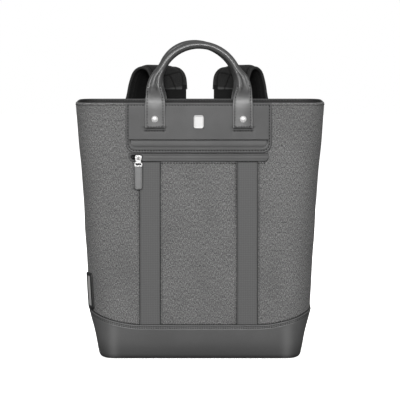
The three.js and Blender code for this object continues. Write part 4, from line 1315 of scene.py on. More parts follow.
yoke_face = GAP + YOKE_THICK - 0.3 * MM
(yoke_left, _), (yoke_right, yoke_top) = yoke_box
yoke_work.on_body(*rounded_path(yoke_box, YOKE_FOOT, YOKE_STITCH), yoke_face)
top_x = np.linspace(yoke_left + 2 * MM, yoke_right - 2 * MM, 200)
yoke_work.on_body(top_x, yoke_top - YOKE_STITCH, yoke_face)
for middle in TAB_MIDDLES:
    slit_x = np.linspace(middle - TAB_HALF, middle + TAB_HALF, 30)
    yoke_work.on_body(slit_x, TAB_FOOT - SLIT_DROP, yoke_face - 0.4 * MM)
flap_x = np.linspace(flap_box[0][0] + 22 * MM, flap_box[1][0] - 4 * MM, 200)
yoke_work.on_body(flap_x, flap_box[0][1] - 2.6 * MM, GAP + 0.2 * MM)
yoke_work.finish("yoke_stitches", dark_thread, "leather")

# %% [markdown]
# ## Zip
#
# Only the left end of the zip shows: a dark tape with its coil of teeth in the eye of the flap, a
# cast slider with a bridge, a waisted link with a slot, and a leather pull. Small metal parts are
# flat outlines with rounded edges, which a filled two-dimensional curve with a bevel gives.


# %% Plates with rounded edges
CORNER_STEPS = 6
OUTLINE_SMOOTHING = np.linspace(-0.4, 0.4, 5) * MM


def rounded_outline(centre, size, foot, head=None):
    """Corner points of a rounded rectangle in x and z, foot and head being its corner radii."""
    head = foot if head is None else head
    half_x, half_z = size[0] / 2, size[1] / 2
    corners = ((1, -1, foot, -90), (1, 1, head, 0), (-1, 1, head, 90), (-1, -1, foot, 180))
    points = []
    for corner_x, corner_z, radius, start in corners:
        for step in range(CORNER_STEPS + 1):
            angle = math.radians(start + 90 * step / CORNER_STEPS)
            x = centre[0] + corner_x * (half_x - radius) + radius * math.cos(angle)
            z = centre[1] + corner_z * (half_z - radius) + radius * math.sin(angle)
            points.append((x, z))
    return points


def turned_outline(centre_x, foot_z, rows):
    """Outline that is the same left and right: rows are (height, half width) in millimetres."""
    heights, halves = np.array(rows).T * MM
    fine = np.linspace(heights[0], heights[-1], 30)
    half = np.mean([np.interp(fine + near, heights, halves) for near in OUTLINE_SMOOTHING], axis=0)
    right = [(centre_x + wide, foot_z + up) for wide, up in zip(half, fine)]
    left = [(centre_x - wide, foot_z + up) for wide, up in zip(half, fine)]
    return right + left[::-1]


def plate(name, outlines, front_y, thickness, bevel, finish, stands_for=()):
    """A flat plate facing the front: its outlines are closed, the first outside, then holes."""
    curve = bpy.data.curves.new(name + "_outline", "CURVE")
    curve.dimensions = "2D"
    curve.fill_mode = "BOTH"
    curve.extrude = thickness / 2 - bevel
    curve.bevel_depth = bevel
    curve.bevel_resolution = 3
    curve.offset = -bevel
    for outline in outlines:
        spline = curve.splines.new("POLY")
        spline.points.add(len(outline) - 1)
        for point, (x, z) in zip(spline.points, outline):
            point.co = (x, z, 0.0, 1.0)
        spline.use_cyclic_u = True
    drawn = bpy.data.objects.new(name + "_outline", curve)
    bpy.context.scene.collection.objects.link(drawn)
    evaluated = drawn.evaluated_get(bpy.context.evaluated_depsgraph_get())
    shape = bpy.data.meshes.new_from_object(evaluated)
    flat = np.array([vertex.co for vertex in shape.vertices])
    faces = [tuple(polygon.vertices) for polygon in shape.polygons]
    bpy.data.objects.remove(drawn)
    bpy.data.curves.remove(curve)
    depth = front_y + thickness / 2 - flat[:, 2]
    points = np.stack([flat[:, 0], depth, flat[:, 1]], axis=1)
    return add_piece(name, points, faces, finish, stands_for, crease=35.0)


# %% Tape and teeth
front_sheet(
    "zip_tape_cloth", "zip_tape", tape_box, (3.4 * MM, 3.4 * MM), 0.6 * MM, dark_webbing,
    step=1.5 * MM, edge=0.5 * MM,
)
TOOTH_PITCH = 1.3 * MM
TOOTH_REACH = 1.4 * MM
TEETH_INSET = 2 * MM
teeth = StitchWork()
tape_z = (tape_box[0][1] + tape_box[1][1]) / 2
for place in np.arange(tape_box[0][0] + TEETH_INSET, tape_box[1][0] - TEETH_INSET, TOOTH_PITCH):
    height = np.linspace(tape_z - TOOTH_REACH, tape_z + TOOTH_REACH, 4)
    teeth.on_body(place, height, 1.0 * MM, pitch=3 * MM, length=3.2 * MM, thread=0.9 * MM)
teeth.finish("zip_teeth", black_plastic, "plastic")


# %% Slider, link and pull
def middle_of(node):
    """Middle and size of a solid's box."""
    low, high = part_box(node)
    return (low + high) / 2, high - low


# Each row is a height over the link's foot and half the link's width there, in millimetres
LINK_SHAPE = [
    (0.0, 4.9), (0.9, 6.0), (2.0, 6.3), (5.4, 6.3), (6.6, 5.2), (7.8, 3.9), (9.0, 3.9),
    (10.6, 4.8), (13.2, 4.9), (14.8, 4.0), (15.7, 2.4), (16.0, 1.0),
]
LINK_DROP = 2.2 * MM
slider, slider_size = middle_of("zip_slider")
slider_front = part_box("zip_slider")[0].y
plate(
    "slider_body",
    [rounded_outline((slider.x, slider.z), (slider_size.x, slider_size.z), 3.2 * MM)],
    slider_front + 1.4 * MM, slider_size.y - 1.4 * MM, 0.6 * MM, bright_metal,
    ["zip_slider"],
)
plate(
    "slider_bridge",
    [rounded_outline((slider.x - 1.2 * MM, slider.z + 0.8 * MM), (4.4 * MM, 5.4 * MM), 2 * MM)],
    slider_front - 1.2 * MM, 3.2 * MM, 0.8 * MM, bright_metal,
)
link, link_size = middle_of("zip_link")
link_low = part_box("zip_link")[0]
link_foot = link_low.z - LINK_DROP
plate(
    "pull_link",
    [
        turned_outline(link.x, link_foot, LINK_SHAPE),
        rounded_outline((link.x, link_foot + 3.9 * MM), (8.4 * MM, 2.8 * MM), 1 * MM),
        rounded_outline((link.x, link_foot + 12.6 * MM), (5.0 * MM, 3.6 * MM), 1.5 * MM),
    ],
    link_low.y, link_size.y, 0.5 * MM, bright_metal, ["zip_link"],
)

# %% Leather pull
pull, pull_size = middle_of("zip_pull")
PULL_CORNER = 4 * MM
pull_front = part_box("zip_pull")[0].y
pull_low, (pull_right, _) = front_box("zip_pull")
pull_box = pull_low, (pull_right, link_foot - 0.3 * MM)
pull_wide, pull_tall = pull_size.x, pull_box[1][1] - pull_low[1]
pull_middle = (pull.x, (pull_box[0][1] + pull_box[1][1]) / 2)
pull_edge = (pull_wide + 1.2 * MM, pull_tall + 0.8 * MM)
plate(
    "leather_pull",
    [rounded_outline(pull_middle, (pull_wide, pull_tall), PULL_CORNER, 1.4 * MM)],
    pull_front, pull_size.y, 0.9 * MM, pull_leather, ["zip_pull"],
)
plate(
    "pull_lining",
    [rounded_outline(pull_middle, pull_edge, PULL_CORNER + 0.4 * MM, 1.8 * MM)],
    pull_front + 0.9 * MM, pull_size.y - 1.0 * MM, 0.3 * MM, facing_leather,
)
plate(
    "pull_loop",
    [rounded_outline((pull.x, pull_box[1][1] + 1.6 * MM), (7.0 * MM, 6.0 * MM), 1.0 * MM)],
    link_low.y + 0.7 * MM, 1.2 * MM, 0.4 * MM, facing_leather,
)
pull_work = StitchWork()
pull_x, pull_z = rounded_path(pull_box, PULL_CORNER, 1.7 * MM)
face = np.stack([pull_x, np.full(len(pull_x), pull_front), pull_z], axis=1)
towards_front = np.tile([0.0, -1.0, 0.0], (len(face), 1))
pull_work.row(face, towards_front, pitch=2.2 * MM, length=1.5 * MM, thread=0.45 * MM)
pull_work.finish("pull_stitches", dark_thread, "leather")

# %% [markdown]
# ## Plates and rivets
#
# A small plain metal plate sits on the yoke. Low on the left flank a narrow framed plate wraps
# round the corner. The rivets that hold the handles are turned: a domed head inside a thin collar.

# %% Plates
yoke_plate_box = front_box("emblem_plate")
YOKE_PLATE_CORNER = 4 * MM
YOKE_PLATE_RIM = 1.5 * MM
YOKE_PLATE_SUNK = 0.35 * MM
PLATE_WIDTH, PLATE_HEIGHT, PLATE_CORNER = 24 * MM, 58 * MM, 5 * MM
FACE_RIM, FACE_CORNER, FRAME_DEEP = 5.5 * MM, 2 * MM, 1.5 * MM
PLATE_CENTRE = 104 * MM
PLATE_TURN = math.radians(68)


def yoke_plate_relief(x, z):
    inside = inside_distance(x, z, *yoke_plate_box, YOKE_PLATE_CORNER, YOKE_PLATE_CORNER)
    return YOKE_PLATE_SUNK * smoothstep(inside, YOKE_PLATE_RIM, YOKE_PLATE_RIM + 0.5 * MM)


def corner_sheet(name, node, size, corner, lift, under, finish, relief=None):
    """A sheet that wraps round the left front corner, with a rounded outline of this size."""
    high = (size[0] / 2, size[1] / 2)
    low = (-high[0], -high[1])
    columns, rows = spaced(low[0], high[0], step=1 * MM), spaced(low[1], high[1], step=1.5 * MM)
    u, v = outline_grid(low, high, corner, corner, columns, rows)
    rise = round_edge(inside_distance(u, v, low, high, corner, corner), lift, 1.1 * MM)
    if relief:
        rise = rise - relief(u, v)
    z = PLATE_CENTRE + v
    _, _, radius, flat, *_ = section_at(z)
    run = -(flat + radius * PLATE_TURN + u)
    points, faces = slab(body_point(run, z, under + rise), body_point(run, z, under))
    return add_piece(name, points, faces, finish, [node])


def frame_recess(u, v):
    high = (PLATE_WIDTH / 2 - FACE_RIM, PLATE_HEIGHT / 2 - FACE_RIM)
    inside = inside_distance(u, v, (-high[0], -high[1]), high, FACE_CORNER, FACE_CORNER)
    return FRAME_DEEP * smoothstep(inside, -0.8 * MM, 0.4 * MM)


front_sheet(
    "yoke_plate", "emblem_plate", yoke_plate_box, (YOKE_PLATE_CORNER, YOKE_PLATE_CORNER), 1.7 * MM,
    satin_metal, relief=yoke_plate_relief, step=0.8 * MM, under=2.2 * MM, edge=0.9 * MM,
)
corner_sheet(
    "side_frame", "side_plate_frame", (PLATE_WIDTH, PLATE_HEIGHT), PLATE_CORNER, 2.4 * MM, GAP,
    black_plastic, frame_recess,
)
face_size = (PLATE_WIDTH - 2 * FACE_RIM, PLATE_HEIGHT - 2 * FACE_RIM)
corner_sheet(
    "side_face", "side_plate_face", face_size, FACE_CORNER, 0.7 * MM, 1.2 * MM, dull_metal
)
print("plates added")

# %% Rivets
# Each row is a point of the turned profile: its distance from the axis and its height, in shares
# of the rivet's radius and thickness
RIVET_PROFILE = [
    (1.0, 0.0), (1.0, 0.2), (0.93, 0.36), (0.84, 0.3), (0.8, 0.55), (0.68, 0.8), (0.4, 0.96),
]
RIVET_SIDES = 36


def add_rivet(node):
    middle, size = middle_of(node)
    low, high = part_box(node)
    facing = -1 if middle.y < 0 else 1
    seat = high.y if facing < 0 else low.y
    angle = 2 * math.pi * np.arange(RIVET_SIDES) / RIVET_SIDES
    rings = []
    for distance, height in RIVET_PROFILE:
        x = middle.x + np.cos(angle) * distance * size.x / 2
        z = middle.z + np.sin(angle) * distance * size.x / 2
        rings.append(np.stack([x, 0 * x + seat + facing * height * size.y, z], axis=1))
    points, faces = ring_skin(np.array(rings))
    points[-1, 1] = seat + facing * size.y
    name = node.replace("rivet", "domed_rivet")
    add_piece(name, points, faces, rivet_metal, [node], crease=50.0)


for name in ("front_left", "front_right", "back_left", "back_right"):
    add_rivet("rivet_" + name)
print("rivets added")

# %% [markdown]
# ## Handles
#
# Each handle is one strap of leather: flat and sewn at both ends, then folded round a cord into a
# tube. Where it folds, the leather gathers into a few upright creases. The handle is swept as
# rings along its arch, each ring going from a flat strap to a round tube.

# %% Handle sections
ARCH_RADIUS = 63 * MM
TUBE = 12 * MM
TAB_WIDTH = 30 * MM
TAB_THICK = 3 * MM
ARCH_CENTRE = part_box("handle_front")[1].z - TUBE / 2 - ARCH_RADIUS
TAB_CLEARANCE = 0.6 * MM
NECK_LENGTH = 56 * MM
LEG_TOE = 4.2 * MM
HANDLE_LEAN = 8 * MM
NECK_ALONG = [0.0, 0.125, 0.25, 0.375, 0.5, 0.69, 0.86, 1.0]
NECK_WIDTH = [1.0, 0.95, 0.83, 0.74, 0.63, 0.45, 0.13, 0.0]
NECK_ROUND = [0.0, 0.07, 0.22, 0.44, 0.67, 0.83, 1.0, 1.0]
NECK_SMOOTHING = np.linspace(-0.05, 0.05, 7)
HANDLE_SIDES = 56
FOOT_ROLL_IN = 1.2 * MM
LEG_LENGTH = ARCH_CENTRE - TAB_FOOT
TAB_LENGTH = BODY_HEIGHT - TAB_FOOT
TOP_ALONG = LEG_LENGTH + ARCH_RADIUS * math.pi / 2


def neck_share(along, column):
    """What a column of the neck's table says at a place along the leg."""
    share = (along - TAB_LENGTH) / NECK_LENGTH
    return float(np.mean([np.interp(share + near, NECK_ALONG, column) for near in NECK_SMOOTHING]))


def handle_frame(along, side, facing, under, lift, sway):
    """Centre, width direction, width and thickness of the handle at a place along one leg."""
    angle = max(0.0, along - LEG_LENGTH) / ARCH_RADIUS
    toe = LEG_TOE * (1 - float(smoothstep(along, TAB_LENGTH, LEG_LENGTH)))
    line_x = ARCH_RADIUS * math.cos(angle) - toe
    line_z = min(TAB_FOOT + along, ARCH_CENTRE) + ARCH_RADIUS * math.sin(angle)
    wide = np.array([side * math.cos(angle), 0.0, math.sin(angle)])
    width = lerp(TUBE, TAB_WIDTH, neck_share(along, NECK_WIDTH))
    above = max(0.0, line_z - BODY_HEIGHT) / (ARCH_CENTRE + ARCH_RADIUS - BODY_HEIGHT)
    height = min(line_z + lift, BODY_HEIGHT)
    middle = HANDLE_SHIFT + side * TAB_REACH
    run = middle if facing < 0 else back_run(middle, height)
    y = float(body_point(run, height, under + TAB_CLEARANCE + TAB_THICK / 2)[1])
    x = HANDLE_SHIFT + side * line_x + sway * above**2
    centre = np.array([x, y - facing * HANDLE_LEAN * above, line_z + lift])
    centre = centre + wide * (width - TUBE) / 2
    rounded = neck_share(along, NECK_ROUND)
    return centre, wide, width, lerp(TAB_THICK, TUBE, rounded), rounded


# %% Gathers and rings of the handle
# Each gather runs up the neck: its place across the face, -1 to 1, its width and its height in mm
GATHERS = [(-0.52, 0.17, 1.3), (-0.2, 0.15, -1.2), (0.2, 0.22, 0.7), (0.6, 0.12, -0.8)]
TAB_STITCH = 2.7 * MM


def handle_folds(share, along, width):
    """Relief, painted shade and painted highlights of the face: edge folds on the tab and gathers
    in the neck.
    """
    up = (along - TAB_LENGTH) / NECK_LENGTH
    gathers = line(up - 0.5, 0.34) * sum(
        height * line(share - place, wide) for place, wide, height in GATHERS
    )
    inward = (1 - np.abs(share)) * width / 2
    flat = 1 - smoothstep(up, 0.2, 0.7)
    groove = flat * line(inward - TAB_STITCH, 0.9 * MM)
    edges = line(inward, 0.7 * MM)
    bulge = line(along - TAB_LENGTH + 5 * MM, 11 * MM)
    hollow = line(up - 0.3, 0.14)
    turned = 0.5 * smoothstep(np.abs(share), 0.5, 1.0) * smoothstep(up, 0.3, 1.0)
    # Painted highlights: the flat tab lighter all over, brighter at its edges, on the bulge below
    # the neck and on the gathers' ridges. Painted shade: in the stitch groove, the gathers'
    # hollows, a band across the neck and the tube's upper and lower sides.
    painted_highlight = 0.16 * flat + 0.5 * flat * edges + 0.2 * bulge
    shade = 0.1 * groove - 0.4 * gathers - painted_highlight + 0.45 * hollow + turned
    return (gathers - 0.4 * groove + 0.35 * bulge) * MM, shade


def handle_ring(along, side, place):
    """One ring of points round the handle, from a flat strap to a round tube, and its shade."""
    centre, wide, width, thickness, rounded = handle_frame(along, side, **place)
    square = lerp(16.0, 2.0, min(1.0, 1.5 * rounded) ** 0.4)
    foot = 1 - 0.55 * max(0.0, 1 - along / FOOT_ROLL_IN)
    angle = 2 * math.pi * (np.arange(HANDLE_SIDES) + 0.5) / HANDLE_SIDES
    share = np.sign(np.cos(angle)) * np.abs(np.cos(angle)) ** (2 / square)
    depth = np.sign(np.sin(angle)) * np.abs(np.sin(angle)) ** (2 / square)
    relief, shade = handle_folds(share, along, width)
    thick = depth * thickness / 2 * foot + relief * depth * np.abs(depth)
    ring = centre + np.outer(share * width / 2, wide) + np.outer(thick, [0.0, 1.0, 0.0])
    return ring, shade


print(f"handle: {LEG_LENGTH / MM:.0f} mm legs, an arch of {ARCH_RADIUS / MM:.0f} mm radius")

# %% Handles and their stitches
HANDLE_PLACES = {
    "front": {"facing": -1, "under": GAP + 1.8 * MM, "lift": 0.0, "sway": 0.0},
    "back": {"facing": 1, "under": 0.0, "lift": BACK_RISE, "sway": -7.5 * MM},
}


def add_handle(name):
    place = HANDLE_PLACES[name]
    legs = np.concatenate([[0.0, 0.5 * MM, FOOT_ROLL_IN], np.linspace(2.5 * MM, TOP_ALONG, 120)])
    left = [handle_ring(along, -1, place) for along in legs]
    right = [handle_ring(along, 1, place) for along in legs[:-1]]
    rings, shades = zip(*(left + right[::-1]))
    points, faces = ring_skin(np.array(rings))
    shade = np.concatenate([np.ravel(shades), [0.0, 0.0]])
    add_piece(
        "rolled_handle_" + name, points, faces, handle_leather, ["handle_" + name],
        shade=shade,
    )


def add_handle_stitches(name):
    place = HANDLE_PLACES[name]
    facing = place["facing"]
    work = StitchWork()
    for side in (-1, 1):
        paths = [[], []]
        for along in np.linspace(2 * MM, TAB_LENGTH + 0.5 * NECK_LENGTH, 60):
            centre, wide, width, thickness, _ = handle_frame(along, side, **place)
            face = centre + np.array([0.0, facing * (thickness / 2 - 0.25 * MM), 0.0])
            for path, edge in zip(paths, (-1, 1)):
                path.append(face + wide * edge * (width / 2 - TAB_STITCH))
        centre, wide, width, thickness, _ = handle_frame(TAB_STITCH, side, **place)
        face = centre + np.array([0.0, facing * (thickness / 2 - 0.1 * MM), 0.0])
        paths.append([face + wide * share * width / 2 for share in np.linspace(-0.82, 0.82, 12)])
        for path in paths:
            outward = np.tile([0.0, float(facing), 0.0], (len(path), 1))
            work.row(path, outward, pitch=4.4 * MM, length=2.4 * MM, thread=1.3 * MM)
    work.finish(f"handle_{name}_stitches", dark_thread, "leather")


for name in HANDLE_PLACES:
    add_handle(name)
    add_handle_stitches(name)

# %% [markdown]
# ## Shoulder straps
#
# The straps are padded: foam between a melange cloth on the outside and a knitted mesh towards
# the wearer, with a binding tape round the edge and a seam just inside it. They rise from flat
# roots on the back, arch over and hang down to ladder buckles near the base. The section is
# written as a profile, crowned between its seams and thin at the bound edge, so the padding reads
# without a cloth simulation, which would blur the seams that the photograph shows.

# %% Strap path
STRAP_WIDTH = 60 * MM
STRAP_THICK = 11 * MM
STRAP_ROOT_X = 50 * MM
STRAP_RISE = 50.5 * MM
STRAP_DROP = 0.7 * BODY_HEIGHT
STRAP_SPREAD = 51 * MM
STRAP_STAND = 56 * MM
STRAP_START_STAND = 12 * MM
STRAP_SPLAY = {-1: 1.0, 1: 0.8}
# The path in shares of the sizes above, from the root over the arch to the buckle; turn is the
# angle of the strap's width to the back panel, in degrees
STRAP_OUT = [0.0, 0.06, 0.26, 0.52, 0.75, 0.89, 1.0, 1.2, 1.36, 1.44, 1.47, 1.48]
STRAP_AWAY = [0.0, 0.1, 0.28, 0.5, 0.7, 0.84, 0.95, 0.95, 0.8, 0.58, 0.36, 0.2]
STRAP_UP = [0.31, 0.68, 0.94, 1.0, 0.87, 0.53, 0.0, 0.0, 0.0, 0.0, 0.0, 0.0]
STRAP_DOWN = [0.0, 0.0, 0.0, 0.0, 0.0, 0.0, 0.0, 0.19, 0.41, 0.62, 0.82, 1.0]
STRAP_TURN = [0, 10, 28, 42, 45, 45, 44, 36, 26, 16, 8, 0]
STRAP_WIDE = [0.98, 1.0, 1.0, 1.0, 1.0, 1.0, 1.0, 1.0, 0.98, 0.92, 0.84, 0.72]
STRAP_RINGS = 170
SIDES = {"left": -1, "right": 1}


def smooth_through(column, places):
    """Values of a smooth curve through a column, at places counted in rows."""
    column = np.asarray(column, float)
    padded = np.concatenate([[2 * column[0] - column[1]], column, [2 * column[-1] - column[-2]]])
    row = np.clip(np.floor(places).astype(int), 0, len(column) - 2)
    way = places - row
    before, start, end, after = (padded[row + k] for k in range(4))
    bend = 2 * before - 5 * start + 4 * end - after
    twist = 3 * (start - end) + after - before
    return 0.5 * (2 * start + (end - before) * way + bend * way**2 + twist * way**3)


def strap_frames(side):
    """Centres, width and thickness directions, widths and distances along one strap."""
    places = np.linspace(0.0, len(STRAP_OUT) - 1, STRAP_RINGS)
    out, away, up, down, turn, wide = (
        smooth_through(column, places)
        for column in (STRAP_OUT, STRAP_AWAY, STRAP_UP, STRAP_DOWN, STRAP_TURN, STRAP_WIDE)
    )
    x = side * (STRAP_ROOT_X + STRAP_SPLAY[side] * out * STRAP_SPREAD)
    y = RIM_DEPTH / 2 + STRAP_START_STAND + away * STRAP_STAND
    rise = up * STRAP_RISE - down * STRAP_DROP
    centres = np.stack([x, y, BODY_HEIGHT + BACK_RISE + rise], axis=1)
    along = np.gradient(centres, axis=0)
    along[0], along[-1] = (0.0, 0.0, 1.0), (0.0, 0.0, -1.0)
    along /= np.linalg.norm(along, axis=1, keepdims=True)
    turn = np.radians(turn)
    across = np.stack([np.cos(turn), -side * np.sin(turn), 0 * turn], axis=1)
    level = across - along * np.sum(across * along, axis=1, keepdims=True)
    level /= np.linalg.norm(level, axis=1, keepdims=True)
    thick = np.cross(along, level)
    steps = np.linalg.norm(np.diff(centres, axis=0), axis=1)
    way = np.concatenate([[0.0], np.cumsum(steps)])
    return centres, level, thick, STRAP_WIDTH * wide, way


print(f"strap pad: {strap_frames(-1)[-1][-1] / MM:.0f} mm long")

# %% Strap pads
BINDING = 3.2 * MM
PAD_SEAM = 7 * MM
PATCH_LENGTH = 22 * MM
INNER_SEAMS = (8.5 * MM, 14.5 * MM)
BOUND_HALF = 2.5 * MM
CROWN_WIDTH = 15 * MM
PAD_SEAM_SINK = 0.8 * MM
PAD_ACROSS = np.linspace(-1, 1, 77)


def pad_half_thickness(share, width, way, length):
    """Half the pad's thickness: crowned, with a seam inside a thin bound edge."""
    inward = (1 - np.abs(share)) * width / 2
    crown = smoothstep(inward, 0.5 * BINDING, CROWN_WIDTH)
    half = lerp(BOUND_HALF, STRAP_THICK / 2, crown)
    half = half - 0.7 * MM * line(inward - BINDING, 0.7 * MM)
    half = half * lerp(0.35, 1.0, np.sqrt(np.clip(inward / (1.4 * MM), 0.0, 1.0)))
    end = np.minimum(way, length - way)
    return half * lerp(0.45, 1.0, np.sqrt(np.clip(end / (3 * MM), 0.0, 1.0)))


def pad_seams(side, share, width, way):
    """Sunk seams, 0 to 1, on the outer face: inside each edge and the patch by the root."""
    inward = (1 - np.abs(share)) * width / 2
    edge = line(inward - PAD_SEAM, 0.9 * MM)
    cross = line(way - PATCH_LENGTH, 1.0 * MM) * (inward > PAD_SEAM)
    slant = share * -side - lerp(0.34, 0.08, np.clip(way / PATCH_LENGTH, 0, 1))
    slanted = line(slant * width / 2, 1.0 * MM) * (way < PATCH_LENGTH)
    return np.maximum(np.maximum(edge, cross), slanted)


def add_pad(name, side):
    centres, level, thick, widths, way = strap_frames(side)
    share, width = PAD_ACROSS[None, :], widths[:, None]
    reach, length = way[:, None] + 0 * share, way[-1]
    half = pad_half_thickness(share, width, reach, length)
    seams = pad_seams(side, share, width, reach)
    at = centres[:, None, :] + level[:, None, :] * (share * width / 2)[..., None]
    outer = at + thick[:, None, :] * (PAD_SEAM_SINK * seams - half)[..., None]
    inner = at + thick[:, None, :] * (0.9 * half)[..., None]
    points, faces = slab(outer, inner)
    inward = (1 - np.abs(share)) * width / 2
    inner_seams = np.max([line(inward - seam, 0.9 * MM) for seam in INNER_SEAMS], axis=0)
    end = np.minimum(reach, length - reach)
    # Painted shade in the sunk seams of the outer face and a painted highlight along the pad's
    # ends; the seams of the mesh face are painted lighter.
    shade = np.stack([0.9 * seams - 0.9 * line(end, 1.5 * MM), -inner_seams])
    taped = ((inward < BINDING) | (end < 2.2 * MM)).ravel()
    corners = np.array(faces)
    on_tape = taped[corners % len(taped)].all(axis=1)
    inside = (corners >= len(taped)).all(axis=1)
    lay = np.stack([share * width / 2, reach, 0 * reach], axis=-1)
    return add_piece(
        f"padded_strap_{name}", points, faces, [strap_cloth, strap_mesh, binding_tape],
        [f"strap_pad_{name}"], np.stack([lay, lay]), shade, np.where(on_tape, 2, inside),
    )


for name, side in SIDES.items():
    pad = add_pad(name, side)
    print(pad.name, len(pad.data.polygons), "faces")

# %% [markdown]
# ## Strap roots and lower ends
#
# The roots are flat tabs of folded cloth, sewn to the back in a box. At the bottom each strap goes
# into a ladder buckle, and a webbing runs on to a tab at the base. The photograph hides all this,
# so it is finished plainly.

# %% Roots
ROOT_WIDTH = 55 * MM
ROOT_THICK = 3 * MM
ROOT_SEWN = 26 * MM
ROOT_EDGE = 1.4 * MM
OVER_TAB = 6 * MM
SEWN_IN = 6 * MM
ROOT_SMOOTHING = np.linspace(-1.5, 1.5, 5) * MM
BOX_INSET = 4 * MM
BOX_TALL = 20 * MM
# Corners of the stitched box with its cross, in the order in which they are sewn
SEWN_BOX = [(-1, 0), (1, 0), (1, 1), (-1, 1), (-1, 0), (1, 1), (1, 0), (-1, 1)]


def root_grid(side, extra):
    """Grid of the root on the back: sewn flat, over the handle's tab, then up to the pad."""
    low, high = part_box("strap_root_left")
    tab_foot = TAB_FOOT + BACK_RISE
    leave = BODY_HEIGHT - ROOT_THICK
    end_out = STRAP_START_STAND - ROOT_THICK / 2
    stops = [low.z, low.z + ROOT_SEWN, tab_foot - 0.8 * MM, leave, (leave + high.z) / 2, high.z]
    outs = [GAP, GAP, OVER_TAB, OVER_TAB, lerp(OVER_TAB, end_out, 0.4), end_out]
    rows = spaced(low.z, high.z + SEWN_IN, step=2 * MM)
    out = np.mean([np.interp(rows + near, stops, outs) for near in ROOT_SMOOTHING], axis=0)
    shares = spaced(-1.0, 1.0, step=0.12)
    off = side * (STRAP_ROOT_X + shares * ROOT_WIDTH / 2)
    grid = np.stack([body_point(back_run(x, rows), rows, 0.0) for x in off])
    sides = round_edge((1 - np.abs(shares)) * ROOT_WIDTH / 2, 1.0, ROOT_EDGE, 0.35)
    foot = round_edge(rows - low.z, 1.0, ROOT_EDGE, 0.35)
    grid[..., 1] += out[None, :] + extra * ROOT_THICK * sides[:, None] * foot[None, :]
    return grid, (off[:, None], rows[None, :])


root_work = StitchWork()
for name, side in SIDES.items():
    outer, flat = root_grid(side, 1.0)
    inner, _ = root_grid(side, 0.0)
    add_sheet(f"root_{name}", outer, inner, flat, dark_webbing, f"strap_root_{name}")
    middle, half = side * STRAP_ROOT_X, ROOT_WIDTH / 2 - BOX_INSET
    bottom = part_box(f"strap_root_{name}")[0].z + BOX_INSET
    top = bottom + BOX_TALL
    for (x0, z0), (x1, z1) in zip(SEWN_BOX[:-1], SEWN_BOX[1:]):
        off = np.linspace(middle + x0 * half, middle + x1 * half, 40)
        z = np.linspace(lerp(bottom, top, z0), lerp(bottom, top, z1), 40)
        root_work.on_body(back_run(off, z), z, GAP + ROOT_THICK - 0.1 * MM)
root_work.finish("root_stitches", strap_thread, "strap")

# %% Buckles, anchors and lower webbing
BUCKLE_ROUND = 0.7 * MM
ANCHOR_THICK = 3 * MM
ANCHOR_OUT = BASE_PROUD + 1 * MM
ANCHOR_SUNK = 0.4 * MM
ANCHOR_INSETS = (4 * MM, 6 * MM)
WEB_WIDTH = 25 * MM
WEB_THICK = 1.7 * MM
WEB_SAG = 1.6 * MM
WEB_IN_BUCKLE = 2 * MM


def dress_buckle(name):
    """The buckle keeps its solid, which only gets its finish and rounded edges."""
    buckle = frame["nodes"][f"strap_buckle_{name}"]
    buckle.data.materials.clear()
    buckle.data.materials.append(black_plastic)
    rounding = buckle.modifiers.new("rounded edges", "BEVEL")
    rounding.width = BUCKLE_ROUND
    rounding.segments = 3
    rounding.limit_method = "ANGLE"
    rounding.angle_limit = math.radians(40)


def add_anchor(name, side, work):
    """The tab at the foot of the back, with a row of stitches near its foot and its head."""
    node = f"strap_anchor_{name}"
    low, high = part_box(node)
    offs, rows = (spaced(*ends, step=3 * MM) for ends in ((low.x, high.x), (low.z, high.z)))
    off, z = np.meshgrid(offs[::side], rows, indexing="ij")
    inward = np.min([np.abs(off - low.x), np.abs(high.x - off), z - low.z, high.z - z], axis=0)
    lift = round_edge(np.clip(inward, 0, None), ANCHOR_THICK, 1.4 * MM)
    run = back_run(off, z)
    outer = body_point(run, z, ANCHOR_OUT + lift)
    inner = body_point(run, z, ANCHOR_OUT - ANCHOR_SUNK)
    add_sheet(f"anchor_{name}", outer, inner, (off, z), dark_webbing, node)
    across = np.linspace(low.x + ANCHOR_INSETS[0], high.x - ANCHOR_INSETS[0], 30)
    for height in (low.z + ANCHOR_INSETS[0], high.z - ANCHOR_INSETS[1]):
        work.on_body(back_run(across, height), height, ANCHOR_OUT + ANCHOR_THICK - 0.1 * MM)


def add_web(name):
    """Webbing from the middle of the buckle down to the top of the anchor."""
    node = f"strap_web_{name}"
    (buckle, _), (anchor, anchor_size) = (
        middle_of(f"strap_{end}_{name}") for end in ("buckle", "anchor")
    )
    anchor_top = anchor.z + anchor_size.z / 2
    low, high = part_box(node)
    behind = body_point(back_run(anchor.x, anchor_top), anchor_top, ANCHOR_OUT + ANCHOR_THICK / 2)
    start = np.array([buckle.x, buckle.y, high.z + WEB_IN_BUCKLE])
    end = np.array([anchor.x, behind[1], low.z])
    shares = np.linspace(0, 1, 16)[:, None]
    path = lerp(start, end, shares) + np.sin(math.pi * shares) * [0.0, WEB_SAG, 0.0]
    across = spaced(-WEB_WIDTH / 2, WEB_WIDTH / 2, step=3 * MM)
    grid = path[None, :, :] + across[:, None, None] * [1.0, 0.0, 0.0]
    half = round_edge(WEB_WIDTH / 2 - np.abs(across), WEB_THICK, 0.7 * MM)[:, None, None] / 2
    outer, inner = grid + half * [0.0, 1.0, 0.0], grid - half * [0.0, 1.0, 0.0]
    flat = (across[:, None], path[None, :, 2])
    add_sheet(f"web_{name}", outer, inner, flat, dark_webbing, node)


anchor_work = StitchWork()
for name, side in SIDES.items():
    dress_buckle(name)
    add_anchor(name, side, anchor_work)
    add_web(name)
anchor_work.finish("anchor_stitches", strap_thread, "webbing")

